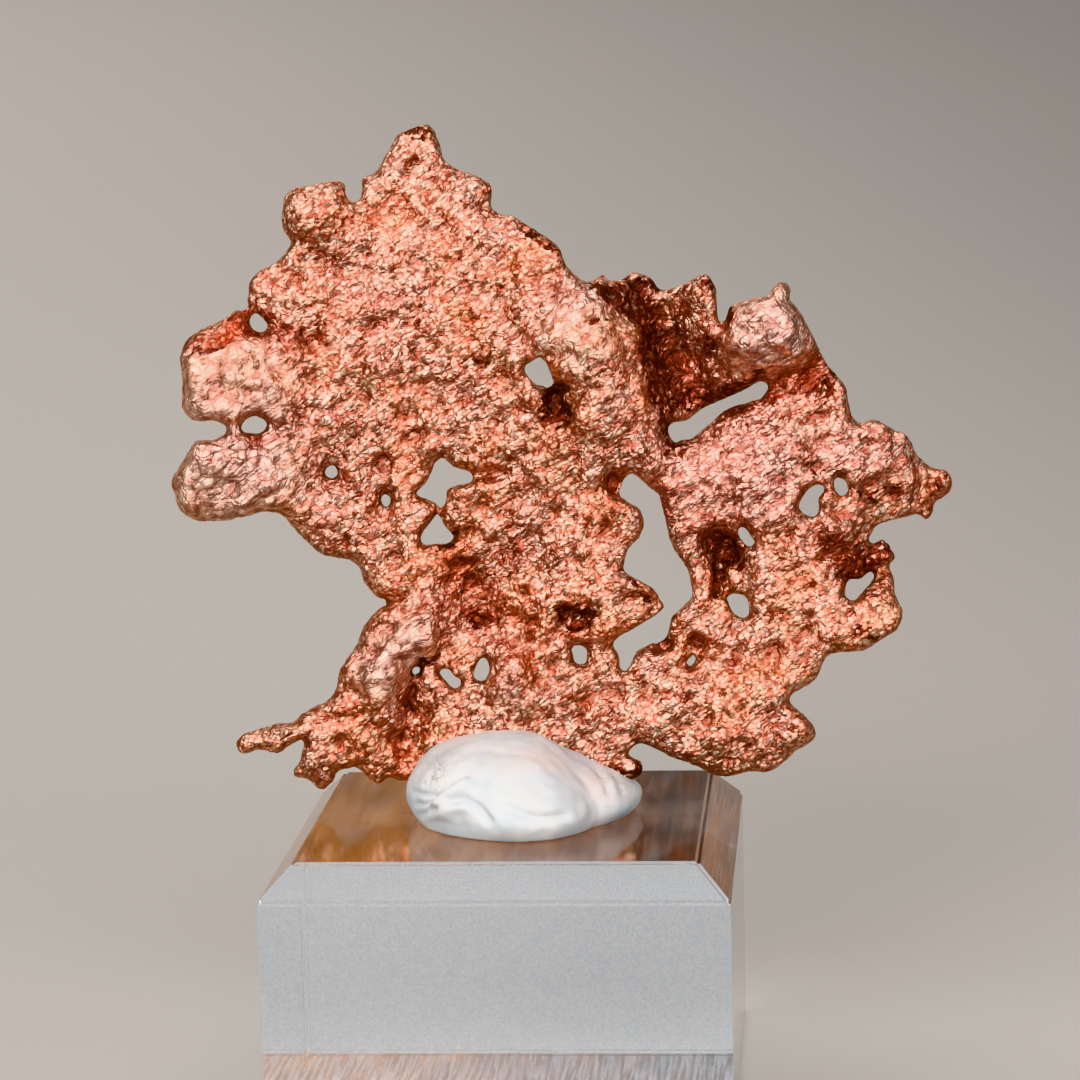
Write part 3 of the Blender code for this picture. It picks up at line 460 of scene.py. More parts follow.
# Real sizes that the patterns are drawn at.
FINE_GRAIN = (0.62 * MM, 0.46 * MM)
COARSE_GRAIN = (1.15 * MM, 0.95 * MM)
GROOVES = (2.3 * MM, 1.15 * MM)
FOLDS = (4.2 * MM, 0.55 * MM)
GRAIN_DEPTH = 0.1 * MM
GRAIN_TILT = 0.6
COPPER_ROUGH = (0.22, 0.36)
OXIDE_ROUGHER = 0.2
WARP_SIZE = 1.5 * MM
WARP_REACH = 1.1 * MM
GRIT_SIZE = 0.22 * MM
PATCH_SIZE = 7 * MM
CLOUD_SIZE = 5 * MM
SPECK_SIZE = 0.5 * MM
SKIN_SIZE = 0.7 * MM
SKIN_DEPTH = 0.1 * MM
HAZE_SIZE = 12 * MM
SEEN_TABLE_MOTTLE = (3.5 * MM, 14 * MM, 3.5 * MM)
SAW_MARKS = (0.42 * MM, 16 * MM, 16 * MM)
ACRYLIC_IOR = 1.49
SIDE_ROUGH = (0.0, 0.015)
FRONT_DUST = 0.05
DUST_SIZE = 0.22 * MM
TOP_ROUGH = (0.08, 0.12)
UNDERSIDE_ROUGH = 0.25
UNDERSIDE_IOR = 1.4  # a thin gloss: hardly seen from above, and bright along the face
SAW_DEPTH = 0.03 * MM
BLOCK_BEVEL = 3.5 * MM
BLOCK_EDGE_ROUND = 0.35 * MM

# The stage: paper swept up behind, and the lamps as name, place, size, watts and colour.
PAPER_HALF_WIDTH = 2500 * MM
PAPER_FRONT = -1500 * MM
PAPER_BEND = 120 * MM
PAPER_BEND_RADIUS = 1600 * MM
PAPER_STEPS = 48
PAPER_TOP = 2500 * MM
PAPER_LEVEL = -0.2 * MM  # a hair under the block, whose underside is at 0
MATT = 0.9  # the roughness of paper and card
# Painted shade on the paper, darkening it towards the back right.
PAPER_FADE_FROM = Vector((-100, 250, 0)) * MM
PAPER_FADE_REACH = 500 * MM
PAPER_FADE_TURN = math.radians(30)
# Cards above the view, as name, low and high edge in millimetres and colour. The block's top
# mirrors the black one and its underside the white one.
CARDS = [("black flag", 140, 234, "#0C0B0A"), ("white card", 246, 400, "#E8EAEC")]
CARD_HALF_WIDTH = 400 * MM
CARD_BEHIND = 760 * MM
LAMP_TARGET = Vector((5, 0, 68)) * MM
LAMPS = [
    ("wide front softbox", (-150, -1350, 550), 2600, 72, "#FFFFFF"),
    ("fill softbox", (480, -420, 200), 300, 1.6, "#F3F7FF"),
    ("top softbox", (-60, 60, 520), 260, 1.2, "#FFFFFF"),
]
KEY_FROM = Vector((-0.26, -0.93, 0.36))
KEY_STRENGTH = 2.8
KEY_ANGLE = math.radians(36)
KEY_COLOUR = "#FFFBF6"
VIEW = "Khronos PBR Neutral"
LOOK = "None"
WORLD_COLOUR = "#E4E2DF"
WORLD_STRENGTH = 0.6


def linear(hex_colour):
    """An sRGB hex colour such as #C08060 as linear red, green, blue and alpha."""
    values = [int(hex_colour[i : i + 2], 16) / 255 for i in (1, 3, 5)]
    return [v / 12.92 if v < 0.04045 else ((v + 0.055) / 1.055) ** 2.4 for v in values] + [1.0]


def new_material(name):
    """A material with an empty node tree but for its Principled shader and its output."""
    made = bpy.data.materials.new(name)
    made.use_nodes = True
    return made, made.node_tree, made.node_tree.nodes["Principled BSDF"]


def connect(tree, node, inputs):
    """Gives each input, by name or number, its value or its link. A node stands for its output."""
    for name, value in inputs.items():
        if isinstance(value, bpy.types.Node):
            value = next(socket for socket in value.outputs if socket.enabled)
        if isinstance(value, bpy.types.NodeSocket):
            tree.links.new(value, node.inputs[name])
        else:
            node.inputs[name].default_value = value


def put(tree, kind, inputs=(), ramp=(), **settings):
    """Adds a shader node with its settings, its inputs and its colour ramp."""
    made = tree.nodes.new("ShaderNode" + kind)
    for name, value in settings.items():
        setattr(made, name, value)
    connect(tree, made, dict(inputs))
    for i, (position, colour) in enumerate(ramp):
        stops = made.color_ramp.elements
        stop = stops[i] if i < len(stops) else stops.new(position)
        stop.position = position
        stop.color = linear(colour)
    return made


def set_up(tree, shader, **inputs):
    """Sets or links the shader's inputs, with _ for a space."""
    connect(tree, shader, {name.replace("_", " "): value for name, value in inputs.items()})


def add_object(name, data):
    obj = bpy.data.objects.new(name, data)
    bpy.context.scene.collection.objects.link(obj)
    return obj


def add_mesh(name, form):
    """An object that holds what a bmesh holds. The bmesh is freed."""
    mesh = bpy.data.meshes.new(name)
    form.to_mesh(mesh)
    form.free()
    return add_object(name, mesh)


def settled(obj, name):
    """A new object that holds what obj evaluates to. obj itself is removed."""
    bpy.context.view_layer.update()
    graph = bpy.context.evaluated_depsgraph_get()
    made = add_object(name, bpy.data.meshes.new_from_object(obj.evaluated_get(graph)))
    bpy.data.objects.remove(obj, do_unlink=True)
    return made


def remeshed(obj, voxel, name):
    modifier = obj.modifiers.new("even mesh", "REMESH")
    modifier.mode = "VOXEL"
    modifier.voxel_size = voxel
    return settled(obj, name)


def vertex_values(mesh, name):
    """Every vertex's co or normal, one row each."""
    values = np.empty(len(mesh.vertices) * 3, np.float32)
    mesh.vertices.foreach_get(name, values)
    return values.reshape(-1, 3).astype(np.float64)


def surface(mesh):
    """Every vertex's place, and the direction that it faces."""
    return vertex_values(mesh, "co"), vertex_values(mesh, "normal")


def move_vertices(mesh, points):
    mesh.vertices.foreach_set("co", points.astype(np.float32).ravel())
    mesh.update()


def swell(mesh, points, normals, rise):
    """Moves every vertex outwards by its own rise."""
    move_vertices(mesh, points + normals * rise[:, None])


def keep_value(mesh, name, values):
    """Stores a number from 0 to 1 for every vertex, for the materials to read."""
    attribute = mesh.attributes.new(name, "FLOAT", "POINT")
    attribute.data.foreach_set("value", np.clip(values, 0, 1).astype(np.float32))


def widened(loop):
    """A hole's points, each moved outwards by HOLE_WIDER."""
    points = np.array(loop)
    before, after = np.roll(points, 1, axis=0), np.roll(points, -1, axis=0)
    anticlockwise = np.sum(before[:, 0] * points[:, 1] - points[:, 0] * before[:, 1]) > 0
    outwards = np.zeros_like(points)
    for edge in (points - before, after - points):
        normal = np.stack([edge[:, 1], -edge[:, 0]], axis=1)
        outwards += normal / np.linalg.norm(normal, axis=1, keepdims=True)
    outwards /= np.linalg.norm(outwards, axis=1, keepdims=True) * (1 if anticlockwise else -1)
    return [tuple(point) for point in points + outwards * HOLE_WIDER / MM]


def flat_sheet(loops):
    """The outline and its holes as one flat sheet in the XY plane."""
    curve = bpy.data.curves.new("flat sheet", "CURVE")
    curve.dimensions = "2D"
    curve.fill_mode = "BOTH"
    curve.extrude = SHEET_HALF
    for loop in loops:
        spline = curve.splines.new("POLY")
        spline.points.add(len(loop) - 1)
        for point, (x, z) in zip(spline.points, loop):
            point.co = (x * MM, z * MM, 0, 1)
        spline.use_cyclic_u = True
    sheet = settled(add_object("flat sheet", curve), "flat sheet")
    form = bmesh.new()
    form.from_mesh(sheet.data)
    bmesh.ops.remove_doubles(form, verts=form.verts, dist=0.01 * MM)
    form.to_mesh(sheet.data)
    form.free()
    return remeshed(sheet, SHEET_VOXEL, "even sheet")


def distance_to_edge(x, z, loops, spacing=0.25 * MM):
    """How far each (x, z) is from the nearest of the loops."""
    points = []
    for loop in loops:
        corners = [Vector((a, b, 0)) * MM for a, b in loop]
        for a, b in zip(corners, corners[1:] + corners[:1]):
            steps = max(1, math.ceil((b - a).length / spacing))
            points += [a.lerp(b, i / steps) for i in range(steps)]
    tree = kdtree.KDTree(len(points))
    for i, point in enumerate(points):
        tree.insert(point, i)
    tree.balance()
    return np.array([tree.find(Vector((a, b, 0)))[2] for a, b in zip(x, z)])


def hills(x, z, forms, power):
    """The sum of the forms at each (x, z), in millimetres. A higher power gives steeper sides."""
    total = np.zeros_like(x)
    for across, up, half_width, half_height, turn, rise in forms:
        cosine, sine = math.cos(math.radians(turn)), math.sin(math.radians(turn))
        dx, dz = x / MM - across, z / MM - up
        along = (dx * cosine + dz * sine) / half_width
        over = (dz * cosine - dx * sine) / half_height
        total += rise * np.exp(-((along**2 + over**2) ** power))
    return total


def ragged(x, z):
    """The same places, each strayed a little, so that forms listed as ovals get uneven edges."""
    plane = np.stack([x, np.zeros_like(x), z], axis=1)
    stray = [noise_at(plane, RAGGED_SIZE, seed) + 0.4 * noise_at(plane, RAGGED_SIZE / 3, seed + 2)
             for seed in (41, 42)]
    return x + RAGGED_REACH * stray[0], z + RAGGED_REACH * stray[1]


def noise_at(points, spacing, seed):
    """Smooth noise between -1 and 1 with lumps about `spacing` apart."""
    shift = Vector((seed * 7.3, seed * 3.1, seed * 5.7))
    return np.array([noise.noise(Vector(p) / spacing + shift) for p in points])


def on_lines_to_face_point(x, z, forward):
    """Points at (x, z) in the nugget's plane, moved `forward` on their lines to FACE_POINT."""
    share = forward / (PLANE_Y - FACE_POINT.y)
    return np.stack(
        [x + (FACE_POINT.x - x) * share, PLANE_Y - forward, z + (FACE_POINT.z - z) * share],
        axis=1,
    )


def seen_on_plane(points):
    """Where the line from FACE_POINT through each point meets the nugget's plane, as x and z."""
    eye = np.array(FACE_POINT)
    share = (PLANE_Y - eye[1]) / (points[:, 1] - eye[1])
    return (
        eye[0] + (points[:, 0] - eye[0]) * share,
        eye[2] + (points[:, 2] - eye[2]) * share,
    )


def raise_plate(mesh, loops):
    """Turns the flat sheet's mesh into the standing plate with its rounded edge and forms."""
    flat = vertex_values(mesh, "co")
    x, z = flat[:, 0], flat[:, 1]
    to_front = np.clip(flat[:, 2] / SHEET_HALF, -1, 1)
    inside = distance_to_edge(x, z, loops)
    rounded = np.sqrt(1 - (1 - np.clip(inside / EDGE_ROUND, 0, 1)) ** 2)
    half = EDGE_HALF + (BODY_HALF - EDGE_HALF) * rounded
    middle = hills(x, z, SWELLS, 1) * MM
    plane = np.stack([x, z, np.zeros_like(x)], axis=1)
    back = middle - half + BACK_RISE * rounded * noise_at(plane, BACK_WAVE, 3)
    front = middle + half + hills(*ragged(x, z), FRONT_LEDGES, 2) * MM * rounded
    front = np.maximum(front, back + np.minimum(THINNEST, 2 * half))
    forward = back + (to_front + 1) / 2 * (front - back)
    move_vertices(mesh, on_lines_to_face_point(x, z, forward))


def back_lump(x, z, radius, behind):
    """A rough ball that is fused to the back of the plate."""
    form = bmesh.new()
    bmesh.ops.create_icosphere(form, subdivisions=LUMP_ICOSPHERE, radius=radius * MM)
    middle = hills(np.array([x * MM]), np.array([z * MM]), SWELLS, 1)[0] * MM
    centre = on_lines_to_face_point(
        np.array([x * MM]), np.array([z * MM]), np.array([middle - behind * MM])
    )[0]
    for vert in form.verts:
        vert.co *= 1 + LUMP_ROUGHNESS * noise.noise(vert.co / LUMP_SPACING + Vector((x, z, 0)))
        vert.co.y *= LUMP_FLATTENING
        vert.co += Vector(centre)
    return add_mesh("back lump", form)


def joined(objects, name):
    """The objects' meshes in one object. Meshes that overlap are fused by the next remesh."""
    form = bmesh.new()
    for obj in objects:
        form.from_mesh(obj.data)
        bpy.data.objects.remove(obj, do_unlink=True)
    return add_mesh(name, form)


def facing_share(points, normals):
    """How squarely each vertex looks at FACE_POINT, 0 at the sides that set the outline."""
    towards = np.array(FACE_POINT) - points
    towards /= np.linalg.norm(towards, axis=1, keepdims=True)
    return (normals * towards).sum(axis=1)


def roughen(mesh):
    """Raises the broad lumps, and others half as wide and half as high."""
    points, normals = surface(mesh)
    rise = LUMP_RISE * noise_at(points, LUMP_SPACING, 1)
    rise += LUMP_RISE / 2 * noise_at(points, LUMP_SPACING / 2, 2)
    swell(mesh, points, normals, rise * np.abs(facing_share(points, normals)))


def flow_points(points, stretch):
    """The points turned to the grain's run and drawn together along it."""
    cosine, sine = math.cos(FLOW_TURN), math.sin(FLOW_TURN)
    along = points[:, 0] * cosine + points[:, 2] * sine
    over = points[:, 2] * cosine - points[:, 0] * sine
    return np.stack([along / stretch, points[:, 1], over], axis=1)


def pebbles(points, size, seed):
    """Rounded bumps with creases between them, from 0 in a crease to about 1 on top."""
    shift = Vector((seed * 5.1, seed * 9.7, seed * 2.3))
    heights = []
    for point in points:
        near = noise.voronoi(Vector(point) / size + shift)[0]
        dome = PEBBLE_TOP - PEBBLE_DOME * near[0]
        heights.append(min(1.0, PEBBLE_STEEPNESS * (near[1] - near[0])) * dome)
    return np.array(heights)


def knuckles(points, size, seed):
    """Flat swellings, from 0 in the sharp creases that run between them to 1 on top."""
    return np.minimum(1, CREASE_STEEPNESS * np.abs(noise_at(points, size, seed)))


def add_grain(mesh):
    """The hammered grain, finest on the main plate and coarser on the lobes."""
    points, normals = surface(mesh)
    x, z = seen_on_plane(points)
    coarse = np.clip(hills(x, z, COARSE_PLACES, 2), 0, 1)
    bends = [noise_at(points, BEND_SIZE, seed) for seed in (11, 12, 13)]
    even = points + np.stack(bends, axis=1) * BEND_REACH
    flow = flow_points(even, FLOW_STRETCH)
    fine = KNUCKLE_RISE * knuckles(flow, KNUCKLE_SIZE, 21)
    fine += PEBBLE_RISE * pebbles(flow, PEBBLE_SIZE, 22)
    big = LOBE_KNUCKLE_RISE * knuckles(even, LOBE_KNUCKLE_SIZE, 23)
    big += LOBE_PEBBLE_RISE * pebbles(even, LOBE_PEBBLE_SIZE, 24)
    rise = fine * (1 - coarse) + big * coarse
    rise += CRUMB_RISE * noise_at(points, CRUMB_SIZE, 25)
    rise -= np.median(rise)
    facing = EDGE_GRAIN + (1 - EDGE_GRAIN) * np.abs(facing_share(points, normals))
    swell(mesh, points, normals, rise * facing)


def neighbour_average(mesh, values, rounds):
    """The values after that many rounds of averaging with the vertices next door."""
    edges = np.empty(len(mesh.edges) * 2, np.int32)
    mesh.edges.foreach_get("vertices", edges)
    ends = np.concatenate([edges.reshape(-1, 2), edges.reshape(-1, 2)[:, ::-1]])
    count = np.bincount(ends[:, 0], minlength=len(values)).astype(float)
    for _ in range(rounds):
        sums = [np.bincount(ends[:, 0], values[ends[:, 1], i], len(values)) for i in range(3)]
        values = 0.5 * values + 0.5 * np.stack(sums, axis=1) / count[:, None]
    return values


def hollow_values(mesh):
    """How deep each vertex lies among its neighbours, 0.5 on the level and 1 deep in a crease."""
    points, normals = surface(mesh)
    total = np.zeros(len(points))
    smooth, done = points, 0
    for rounds, full in HOLLOWS:
        smooth = neighbour_average(mesh, smooth, rounds - done)
        done = rounds
        total += np.clip(((smooth - points) * normals).sum(axis=1) / full, -1, 1) / 2
    return 0.5 + 0.5 * total


def make_nugget():
    loops = [OUTLINE, *(widened(hole) for hole in HOLES.values())]
    sheet = flat_sheet(loops)
    raise_plate(sheet.data, loops)
    lumps = [back_lump(*values) for values in BACK_LUMPS]
    nugget = remeshed(joined([sheet, *lumps], "plate and lumps"), BODY_VOXEL, "native_copper")
    mesh = nugget.data
    roughen(mesh)
    add_grain(mesh)
    points, normals = surface(mesh)
    x, z = seen_on_plane(points)
    strayed = ragged(x, z)
    front = facing_share(points, normals) > BACK_FROM
    keep_value(mesh, "hollow", hollow_values(mesh))
    # painted near black: cuprite, and painted shade in the pits and the dark valley
    keep_value(mesh, "dark", hills(*strayed, DARK_PLACES, 1) * front)
    # rust red, which is also painted shade on ledges and steps turned from the light
    keep_value(mesh, "rust_and_shade", hills(*strayed, RUST_AND_SHADE_PLACES, 2) * front)
    keep_value(mesh, "pink", hills(x, z, PINK_PLACES, 1) * front)
    # painted shade along every edge of the outline and the holes
    keep_value(mesh, "rim_shade", np.exp(-((distance_to_edge(*strayed, loops) / RIM_SHADE_WIDTH) ** 2)))
    keep_value(mesh, "coarse", hills(*strayed, COARSE_PLACES, 4))
    mesh.shade_smooth()
    mesh.materials.append(native_copper())
    return nugget


def copper_spaces(tree, place):
    """The spaces of the fine grains, the coarse grains, the grooves and the folds: bent a little,
    and drawn out along the run of the plate. One unit is the pattern's real size."""
    warp = put(tree, "TexNoise", {"Vector": place, "Scale": 1 / WARP_SIZE, "Detail": 2})
    bent = put(tree, "VectorMath", {0: warp.outputs["Color"], 1: [-0.5] * 3})
    moved = put(tree, "VectorMath", {0: bent, 1: [WARP_REACH] * 3, 2: place},
                operation="MULTIPLY_ADD")
    return [
        put(tree, "Mapping", {"Vector": moved, "Rotation": (0, -FLOW_TURN, 0),
                              "Scale": (long, wide, wide)}, vector_type="TEXTURE")
        for long, wide in (FINE_GRAIN, COARSE_GRAIN, GROOVES, FOLDS)
    ]


def copper_grains(tree, spaces, coarse):
    """Each grain's own colour, which its chances come from, and how far a place is from the
    grain's middle and from its edge."""
    found = []
    for feature, output in (("F1", "Color"), ("F1", "Distance"), ("DISTANCE_TO_EDGE", "Distance")):
        fine, big = [
            put(tree, "TexVoronoi", {"Vector": space, "Scale": 1}, feature=feature).outputs[output]
            for space in spaces
        ]
        kind, first, second = ("RGBA", 6, 7) if output == "Color" else ("FLOAT", 2, 3)
        found.append(put(tree, "Mix", {0: coarse, first: fine, second: big}, data_type=kind))
    return found


def broken_grooves(tree, space, patches):
    """Grooves that wander over the plate and run out where the patches thin."""
    edge = put(tree, "TexVoronoi", {"Vector": space, "Scale": 1}, feature="DISTANCE_TO_EDGE")
    groove = put(tree, "MapRange", {0: edge, 2: 0.13, 3: 1, 4: 0})
    comes_and_goes = put(tree, "MapRange", {0: patches, 1: 0.4, 2: 0.6})
    return put(tree, "Math", {0: groove, 1: comes_and_goes}, operation="MULTIPLY")


def oxide_and_shade_share(tree, from_middle, from_edge, grooves, folds, rim_shade, coarse, hollow):
    """How much oxide and painted shade there is: oxide in the thin lines between the grains and in
    grooves and folds, oxide and painted shade in hollows, painted shade on each grain's sides, and
    painted shade along the nugget's own rim, but hardly along that of the lobes."""
    between = put(tree, "MapRange", {0: from_edge, 2: 0.12, 3: 0.7, 4: 0})
    # painted shade on each grain's sides, darker away from its middle
    around = put(tree, "MapRange", {0: from_middle, 1: 0.34, 2: 0.68, 4: 0.85})
    folded = put(tree, "MapRange", {0: folds, 1: 0.38, 2: 0.47, 3: 0.85, 4: 0})
    # oxide and painted shade in the hollows
    sunk = put(tree, "MapRange", {0: hollow, 1: 0.56, 2: 0.9, 4: 0.9})
    # painted shade along the edges, only faint on the lobes
    rim_shade_share = put(tree, "MapRange", {0: coarse, 3: 0.4, 4: 0.05})
    edge_shade = put(tree, "Math", {0: rim_shade, 1: rim_shade_share}, operation="MULTIPLY")
    most = between
    for share in (around, edge_shade, grooves, folded, sunk):
        most = put(tree, "Math", {0: most, 1: share}, operation="MAXIMUM")
    return most


def cuprite_and_shade_share(tree, chance, folds, dark):
    """Where it is near black with cuprite and painted shade: the dark places, frayed grain by grain,
    with a few grains left bright inside them."""
    torn = put(tree, "Math", {0: folds, 1: 0.6, 2: dark}, operation="MULTIPLY_ADD")
    frayed = put(tree, "Math", {0: chance.outputs[2], 1: 0.35, 2: torn}, operation="MULTIPLY_ADD")
    patch = put(tree, "MapRange", {0: frayed, 1: 0.86, 2: 0.98})
    glint = put(tree, "MapRange", {0: chance.outputs[1], 1: 0.68, 2: 0.73, 3: 1, 4: 0.1})
    return put(tree, "Math", {0: patch, 1: glint}, operation="MULTIPLY")


def bare_metal(tree, chance, patches, coarse):
    """Clean copper, from cream to salmon grain by grain and warmer in broad patches."""
    paler = put(tree, "Math", {0: coarse, 1: 0.4, 2: chance.outputs[0]}, operation="MULTIPLY_ADD")
    fresh = put(tree, "ValToRGB", {0: paler}, ramp=[
        (0, COPPER_SALMON), (0.2, COPPER_ROSE), (0.5, COPPER_PEACH), (0.85, COPPER_CREAM)])
    warm = put(tree, "ValToRGB", {0: patches}, ramp=[(0.36, COPPER_ORANGE), (0.56, "#FFFFFF")])
    return put(tree, "Mix", {0: 0.6, 6: fresh, 7: warm}, data_type="RGBA", blend_type="MULTIPLY")


def copper_relief(tree, place, grain_colour, from_middle, grooves, folds):
    """Domed, gritty grains cut by grooves and folds. Each grain leans its own way, so it glitters."""
    grit = put(tree, "TexNoise", {"Vector": place, "Scale": 1 / GRIT_SIZE, "Detail": 3})
    domed = put(tree, "Math", {0: from_middle, 1: -1.2, 2: grit}, operation="MULTIPLY_ADD")
    grooved = put(tree, "Math", {0: grooves, 1: -0.8, 2: domed}, operation="MULTIPLY_ADD")
    height = put(tree, "Math", {0: folds, 1: 2, 2: grooved}, operation="MULTIPLY_ADD")
    bump = put(tree, "Bump", {"Height": height, "Strength": 1, "Distance": GRAIN_DEPTH})
    tilt = put(tree, "VectorMath", {0: grain_colour, 1: [-0.5] * 3})
    lean = put(tree, "VectorMath", {0: tilt, 1: [GRAIN_TILT] * 3, 2: bump},
               operation="MULTIPLY_ADD")
    return put(tree, "VectorMath", {0: lean}, operation="NORMALIZE")


def native_copper():
    """Bare native copper: rounded grains a half millimetre across, from cream to salmon, with brown
    oxide in the creases and painted shade in the hollows, on the grains' sides and along the edges,
    rust red where it is smooth, which also paints shade on ledges and steps turned from the light,
    and near-black cuprite in the pits, together with painted shade in the pits and the dark valley."""
    made, tree, shader = new_material("native copper with cuprite")
    place = put(tree, "TexCoord").outputs["Object"]
    hollow, dark, rust_and_shade, pink, rim_shade, coarse = [
        put(tree, "Attribute", attribute_name=name).outputs["Fac"]
        for name in ("hollow", "dark", "rust_and_shade", "pink", "rim_shade", "coarse")
    ]
    *grain_spaces, groove_space, fold_space = copper_spaces(tree, place)
    grain_colour, from_middle, from_edge = copper_grains(tree, grain_spaces, coarse)
    chance = put(tree, "SeparateColor", {0: grain_colour})
    folds = put(tree, "TexNoise", {"Vector": fold_space, "Scale": 1, "Detail": 4})
    patches = put(tree, "TexNoise", {"Vector": place, "Scale": 1 / PATCH_SIZE, "Detail": 4})
    grooves = broken_grooves(tree, groove_space, patches)

    rosy = put(tree, "Math", {0: pink, 1: 0.5}, operation="MULTIPLY")
    speckled = put(tree, "MapRange", {0: chance.outputs[1], 3: 0.5, 4: 1.3})
    rust_and_shade_share = put(tree, "Math", {0: rust_and_shade, 1: speckled}, operation="MULTIPLY", use_clamp=True)
    oxide_and_shade = oxide_and_shade_share(tree, from_middle, from_edge, grooves, folds, rim_shade, coarse, hollow)
    less_on_lobes = put(tree, "MapRange", {0: coarse, 3: 1, 4: 0.88})  # the lobes' creases get less oxide and less painted shade
    brown = put(tree, "Math", {0: oxide_and_shade, 1: less_on_lobes}, operation="MULTIPLY")
    black = cuprite_and_shade_share(tree, chance, folds, dark)
    colour = bare_metal(tree, chance, patches, coarse)
    for share, shade in ((rosy, COPPER_PINK), (rust_and_shade_share, RUST_AND_SHADE_RED), (brown, OXIDE_AND_SHADE_BROWN),
                         (black, CUPRITE_AND_SHADE_DARK)):
        colour = put(tree, "Mix", {0: share, 6: colour, 7: linear(shade)}, data_type="RGBA")

    worn = put(tree, "MapRange", {0: chance.outputs[2], 3: COPPER_ROUGH[0], 4: COPPER_ROUGH[1]})
    dull = put(tree, "Math", {0: oxide_and_shade, 1: OXIDE_ROUGHER, 2: worn}, operation="MULTIPLY_ADD")
    relief = copper_relief(tree, place, grain_colour, from_middle, grooves, folds)
    set_up(tree, shader, Metallic=1, Specular_Tint=linear(COPPER_GRAZING), Base_Color=colour,
           Roughness=dull, Normal=relief)
    return made


def mineral_tack():
    """White putty pressed by hand: chalky, a little translucent, with faint grey dirt picked up at
    the left and right ends and a breath of painted pink light thrown by the copper."""
    made, tree, shader = new_material("white mineral tack")
    place = put(tree, "TexCoord").outputs["Object"]
    cloud, specks, skin = [
        put(tree, "TexNoise", {"Vector": place, "Scale": 1 / size, "Detail": detail})
        for size, detail in ((CLOUD_SIZE, 4), (SPECK_SIZE, 3), (SKIN_SIZE, 4))
    ]
    dirt, copper_bounce, crease = [
        put(tree, "Attribute", attribute_name=name).outputs["Fac"]
        for name in ("dirt", "copper_bounce", "crease")
    ]
    spots = put(tree, "MapRange", {0: specks, 1: 0.5, 2: 0.62})
    soiled = put(tree, "Math", {0: dirt, 1: spots}, operation="MULTIPLY")
    colour = put(tree, "ValToRGB", {0: cloud}, ramp=[(0.35, TACK_COOL), (0.65, TACK_WARM)])
    for share, shade in ((copper_bounce, TACK_COPPER_BOUNCE), (crease, TACK_CREASE), (soiled, TACK_DIRT)):
        colour = put(tree, "Mix", {0: share, 6: colour, 7: linear(shade)}, data_type="RGBA")
    rough = put(tree, "MapRange", {0: cloud, 3: 0.5, 4: 0.7})
    bump = put(tree, "Bump", {"Height": skin, "Strength": 0.35, "Distance": SKIN_DEPTH})
    set_up(tree, shader, Base_Color=colour, Roughness=rough, Normal=bump,
           Subsurface_Weight=0.12, Subsurface_Radius=(1, 0.8, 0.7), Subsurface_Scale=1.2 * MM)
    return made


def clear_acrylic(name, cast, roughness, dust):
    """Cast acrylic (PMMA): clear with a faint cool cast, its polish a little uneven. Dust is the
    share of the light that it throws back instead of letting through, and its fine specks show
    in the cast."""
    made, tree, shader = new_material(name)
    place = put(tree, "TexCoord").outputs["Object"]
    haze = put(tree, "TexNoise", {"Vector": place, "Scale": 1 / HAZE_SIZE, "Detail": 3})
    rough = put(tree, "MapRange", {0: haze, 1: 0.3, 2: 0.7, 3: roughness[0], 4: roughness[1]})
    specks = put(tree, "TexNoise", {"Vector": place, "Scale": 1 / DUST_SIZE, "Detail": 2})
    tint = put(tree, "ValToRGB", {0: specks}, ramp=[(0.35, cast[0]), (0.65, cast[1])])
    set_up(tree, shader, Base_Color=tint, Roughness=rough, IOR=ACRYLIC_IOR,
           Transmission_Weight=1 - dust)
    return made


def brown_underside():
    """The block's underside: backed in brown that stands for the tabletop seen through the block,
    with painted shadow that deepens it towards the right, under a gloss that is broken by paler saw
    marks from front to back."""
    made, tree, shader = new_material("brown backed underside")
    place = put(tree, "TexCoord").outputs["Object"]
    marks, table_mottle = [
        put(tree, "TexNoise", {"Scale": 1, "Detail": detail, "Vector": put(
            tree, "Mapping", {"Vector": place, "Scale": size}, vector_type="TEXTURE")})
        for size, detail in ((SAW_MARKS, 3), (SEEN_TABLE_MOTTLE, 4))
    ]
    along = put(tree, "SeparateXYZ", {0: place}).outputs["X"]
    # painted shadow: the brown is lighter at the left and darkens towards the right
    painted_shadow_fade = put(tree, "MapRange", {0: along, 1: -15 * MM, 2: 22 * MM, 3: 0.38, 4: 0.02})
    tone = put(tree, "Math", {0: table_mottle, 1: 0.5, 2: painted_shadow_fade}, operation="MULTIPLY_ADD")
    brown = put(tree, "ValToRGB", {0: tone}, ramp=[
        (0.25, SEEN_TABLE_SHADOW), (0.5, SEEN_TABLE_BROWN), (0.72, SEEN_TABLE_TAN)])
    pale = put(tree, "MapRange", {0: marks, 1: 0.5, 2: 0.62, 3: 0.01, 4: 0.08})
    colour = put(tree, "Mix", {0: pale, 6: brown, 7: linear(SAW_PALE)}, data_type="RGBA")
    bump = put(tree, "Bump", {"Height": marks, "Strength": 0.6, "Distance": SAW_DEPTH})
    gloss = put(tree, "MapRange", {0: marks, 1: 0.43, 2: 0.54, 3: 0.05, 4: 1})
    set_up(tree, shader, Base_Color=colour, Roughness=UNDERSIDE_ROUGH, IOR=UNDERSIDE_IOR,
           Normal=bump, Coat_Weight=gloss, Coat_IOR=UNDERSIDE_IOR, Coat_Roughness=0.1)
    return made


